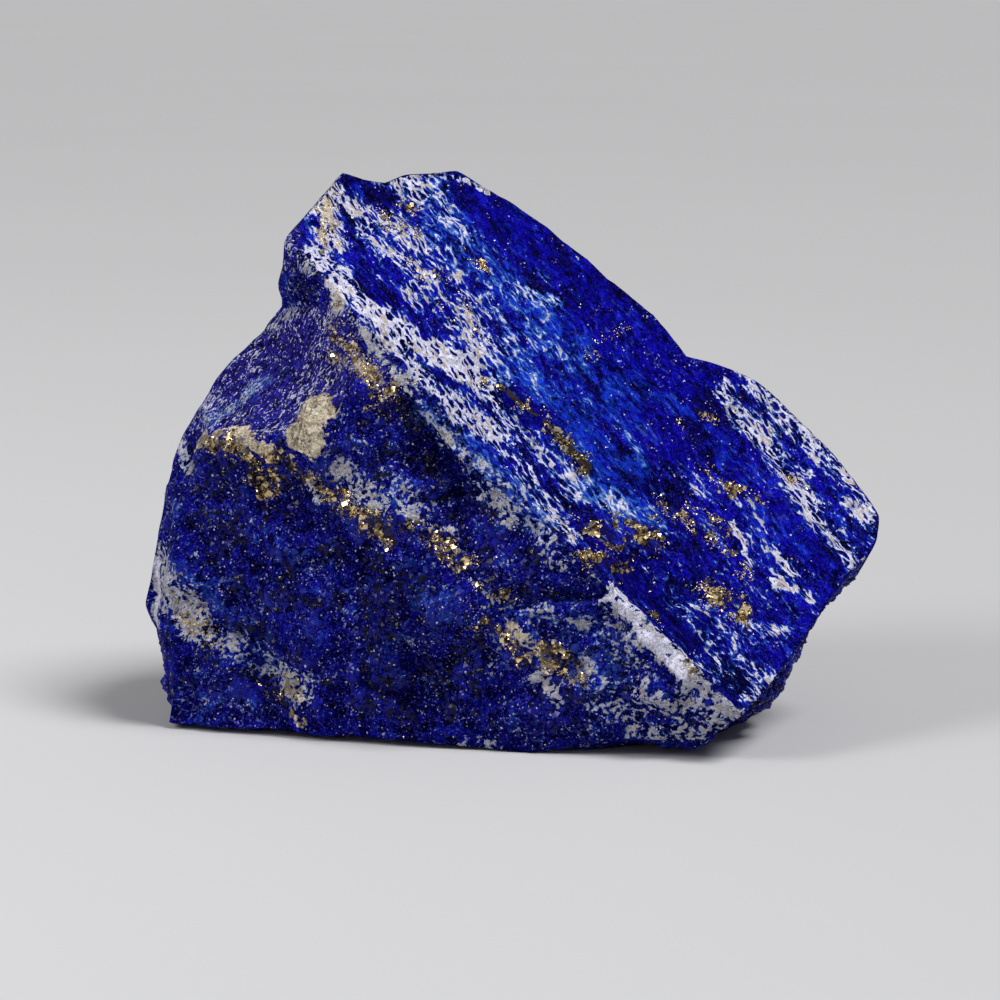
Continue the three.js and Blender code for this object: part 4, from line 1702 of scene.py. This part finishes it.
    def build(self) -> bpy.types.Object:
        """Makes the stone and puts it in place of its solid.

        Returns:
            The stone's object.
        """
        fine = self.rounded_block()
        self.mark_minerals(fine)
        mesh = self.breaking(self.finish.build()).run_on(fine, "lapis_rock")
        keep_in_box(mesh)
        mesh.shade_smooth()
        piece = finished_piece(mesh, "lapis_rock")
        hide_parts(STONE_NODE)
        return piece


class Draw(IntEnum):
    """Seeds of the random values that one grain draws."""

    SIZE = 1
    SHAPE = 2
    TURN = 3
    KIND = 4
    TONE = 5


@dataclass
class MineralGrains:
    """Grains of one mineral that stand a little out of the rock. Sizes are in millimetres.

    The sunk share is how deep a grain's middle sits, in its own sizes, and below 0 it stands free.
    """

    name: str
    mineral: Union[Mineral, Zone]
    finish: CrystalFinish
    smallest: float
    largest: float
    per_square: float
    seed: int
    spread: float = 2.2
    flattest: float = 0.55
    longest: float = 1.3
    clump: float = CLUMP_SIZE
    sunk: float = 0.1
    lumps_only: bool = False
    lump_radius: float = 0.6
    clump_rise: Span = (-0.6, 0.9)
    sparse_size: float = 0.5

    def growing(self, material: bpy.types.Material) -> GrowthTree:
        """Makes the tree that sets grains on a surface where its level of the mineral is high.

        Args:
            material: The grains' material.

        Returns:
            The tree, ready to run on the stone.
        """
        nodes = GrowthTree(
            self.name,
            {
                "Smallest": ("NodeSocketFloat", self.smallest * MM),
                "Largest": ("NodeSocketFloat", self.largest * MM),
                "Spread": ("NodeSocketFloat", self.spread),
                "Grains per square metre": ("NodeSocketFloat", self.per_square / MM**2),
                "Clump size": ("NodeSocketFloat", self.clump),
                "Sunk share": ("NodeSocketFloat", self.sunk),
                "Seed": ("NodeSocketInt", self.seed),
                "Material": ("NodeSocketMaterial", material),
            },
        )
        wiring, sizes = nodes.wiring, nodes.inputs
        level = nodes.named(self.mineral)
        place = wiring.scaled(wiring.add("GeometryNodeInputPosition").outputs[0], 1.0 / MM)
        clumps = wiring.swing(wiring.vector("DIVIDE", place, sizes["Clump size"]))
        level = wiring.math("MULTIPLY", level, wiring.span(clumps, *self.clump_rise))
        crowd = wiring.math("MULTIPLY", level, level)
        crowd = wiring.math("MULTIPLY", crowd, sizes["Grains per square metre"])
        scatter = wiring.add("GeometryNodeDistributePointsOnFaces", distribute_method="RANDOM")
        wiring.feed(scatter.inputs["Mesh"], sizes["Geometry"])
        wiring.feed(scatter.inputs["Density"], crowd)
        wiring.feed(scatter.inputs["Seed"], sizes["Seed"])
        cube = wiring.add("GeometryNodeMeshCube")
        lump = wiring.add("GeometryNodeMeshIcoSphere")
        lump.inputs["Radius"].default_value = self.lump_radius
        lump.inputs["Subdivisions"].default_value = 1
        kinds = wiring.add("GeometryNodeGeometryToInstance")
        wiring.feed(kinds.inputs[0], lump.outputs["Mesh"])
        if not self.lumps_only:
            wiring.feed(kinds.inputs[0], cube.outputs["Mesh"])
        luck = wiring.math("POWER", nodes.random(0.0, 1.0, Draw.SIZE), sizes["Spread"])
        size = wiring.mix(luck, sizes["Smallest"], sizes["Largest"], "FLOAT")
        grown = wiring.mix(nodes.named(self.mineral), self.sparse_size, 1.0, "FLOAT")
        size = wiring.math("MULTIPLY", size, grown)
        shape = nodes.random((self.flattest,) * 3, (self.longest,) * 3, Draw.SHAPE, "FLOAT_VECTOR")
        turn = nodes.random((0.0,) * 3, (math.tau,) * 3, Draw.TURN, "FLOAT_VECTOR")
        sink = wiring.add("GeometryNodeSetPosition")
        wiring.feed(sink.inputs["Geometry"], scatter.outputs["Points"])
        depth = wiring.math("MULTIPLY", wiring.math("MULTIPLY", size, sizes["Sunk share"]), -1.0)
        wiring.feed(sink.inputs["Offset"], wiring.scaled(scatter.outputs["Normal"], depth))
        plant = wiring.add("GeometryNodeInstanceOnPoints")
        wiring.feed(plant.inputs["Points"], sink.outputs["Geometry"])
        wiring.feed(plant.inputs["Instance"], kinds.outputs[0])
        plant.inputs["Pick Instance"].default_value = True
        wiring.feed(plant.inputs["Instance Index"], nodes.random(0, 1, Draw.KIND, "INT"))
        wiring.feed(plant.inputs["Rotation"], turn)
        wiring.feed(plant.inputs["Scale"], wiring.scaled(shape, size))
        tone = nodes.random(0.0, 1.0, Draw.TONE)
        nodes.close(nodes.stored(plant.outputs["Instances"], GRAIN_TONE, tone, "INSTANCE"))
        return nodes

    def build(self, stone: bpy.types.Object) -> bpy.types.Object:
        """Grows the grains on the stone.

        Args:
            stone: The finished stone.

        Returns:
            The grains as one object.
        """
        mesh = self.growing(self.finish.build()).run_on(stone.data, self.name)
        keep_in_box(mesh)
        return finished_piece(mesh, self.name)


GRAINS = (
    MineralGrains(
        "blue_grains",
        Zone.ROUGH,
        BLUE_FINISH,
        smallest=0.3,
        largest=0.95,
        per_square=9.0,
        seed=37,
        spread=1.5,
        clump=3.0,
        sunk=0.3,
        lumps_only=True,
    ),
    MineralGrains(
        "glint_grains",
        Zone.ROUGH,
        GLINT_FINISH,
        smallest=0.06,
        largest=0.19,
        per_square=3.6,
        seed=53,
        spread=1.8,
        flattest=0.45,
        longest=1.8,
        clump=2.4,
        sunk=-0.25,
        lumps_only=True,
    ),
    MineralGrains(
        "pyrite_grains",
        PYRITE,
        PYRITE_FINISH,
        smallest=0.15,
        largest=0.66,
        per_square=26.0,
        seed=11,
    ),
    MineralGrains(
        "crust_grains",
        CRUST,
        CRUST_FINISH,
        smallest=0.2,
        largest=0.8,
        per_square=16.0,
        seed=23,
        sunk=0.2,
    ),
)


@dataclass(frozen=True)
class SoftLight:
    """A square soft light that looks at the stone. Places and sizes are in metres."""

    name: str
    place: tuple[float, float, float]
    size: float
    power: float

    def hang(self, target: Vector) -> bpy.types.Object:
        """Adds the light, turned to a target.

        Args:
            target: Where the light looks, in metres.

        Returns:
            The light's object.
        """
        data = bpy.data.lights.new(self.name, "AREA")
        data.size = self.size
        data.energy = self.power
        light = bpy.data.objects.new(self.name, data)
        light.location = self.place
        light.rotation_euler = (target - Vector(self.place)).to_track_quat("-Z", "Y").to_euler()
        bpy.context.scene.collection.objects.link(light)
        return light


@dataclass
class Studio:
    """A plain pale floor and soft light. Sizes are in metres, angles in degrees."""

    finish: FloorFinish
    floor_half: float = 8.0
    floor_gap: float = 0.00002
    target: tuple[float, float, float] = (0.0, -0.004, 0.024)
    fill: float = 0.16
    key_from: tuple[float, float, float] = (0.46, -0.27, 0.85)
    key_power: float = 2.7
    key_softness: float = 22.0
    lights: tuple[SoftLight, ...] = (
        SoftLight("left_light", (-0.45, -0.22, 0.34), 0.22, 1.6),
        SoftLight("front_light", (-0.20, -0.70, 0.22), 0.30, 0.25),
    )

    def floor(self) -> bpy.types.Object:
        """Adds the floor.

        Returns:
            The floor's object.
        """
        half = self.floor_half
        mesh = bpy.data.meshes.new("floor")
        corners = ((-half, -half), (half, -half), (half, half), (-half, half))
        mesh.from_pydata([(x, y, -self.floor_gap) for x, y in corners], [], [(0, 1, 2, 3)])
        mesh.materials.append(self.finish.build())
        floor = bpy.data.objects.new("floor", mesh)
        bpy.context.scene.collection.objects.link(floor)
        return floor

    def key(self) -> bpy.types.Object:
        """Adds the main light, wide and far away.

        Returns:
            The light's object.
        """
        data = bpy.data.lights.new("key_light", "SUN")
        data.energy = self.key_power
        data.angle = math.radians(self.key_softness)
        light = bpy.data.objects.new("key_light", data)
        light.rotation_euler = (-Vector(self.key_from)).to_track_quat("-Z", "Y").to_euler()
        bpy.context.scene.collection.objects.link(light)
        return light

    def build(self) -> None:
        """Adds the floor, the lights and the even light from all round."""
        self.floor()
        self.key()
        for light in self.lights:
            light.hang(Vector(self.target))
        world = bpy.data.worlds.new("soft_room")
        world.use_nodes = True
        room = world.node_tree.nodes["Background"]
        room.inputs["Color"].default_value = (1.0, 1.0, 1.0, 1.0)
        room.inputs["Strength"].default_value = self.fill
        bpy.context.scene.world = world
        bpy.context.scene.view_settings.view_transform = "Standard"


def triangles(piece: bpy.types.Object) -> int:
    """Returns how many triangles a piece has."""
    piece.data.calc_loop_triangles()
    return len(piece.data.loop_triangles)


def main() -> None:
    """Builds the camera, the room, the stone and its grains."""
    logging.basicConfig(level=logging.INFO, format="%(name)s: %(message)s")
    view = PhotoCamera()
    view.place()
    Studio(FloorFinish()).build()
    stone = Stone(view, LapisFinish()).build()
    LOG.info("%s has %d triangles", stone.name, triangles(stone))
    for grains in GRAINS:
        piece = grains.build(stone)
        LOG.info("%s has %d triangles", piece.name, triangles(piece))


if __name__ == "__main__":
    main()
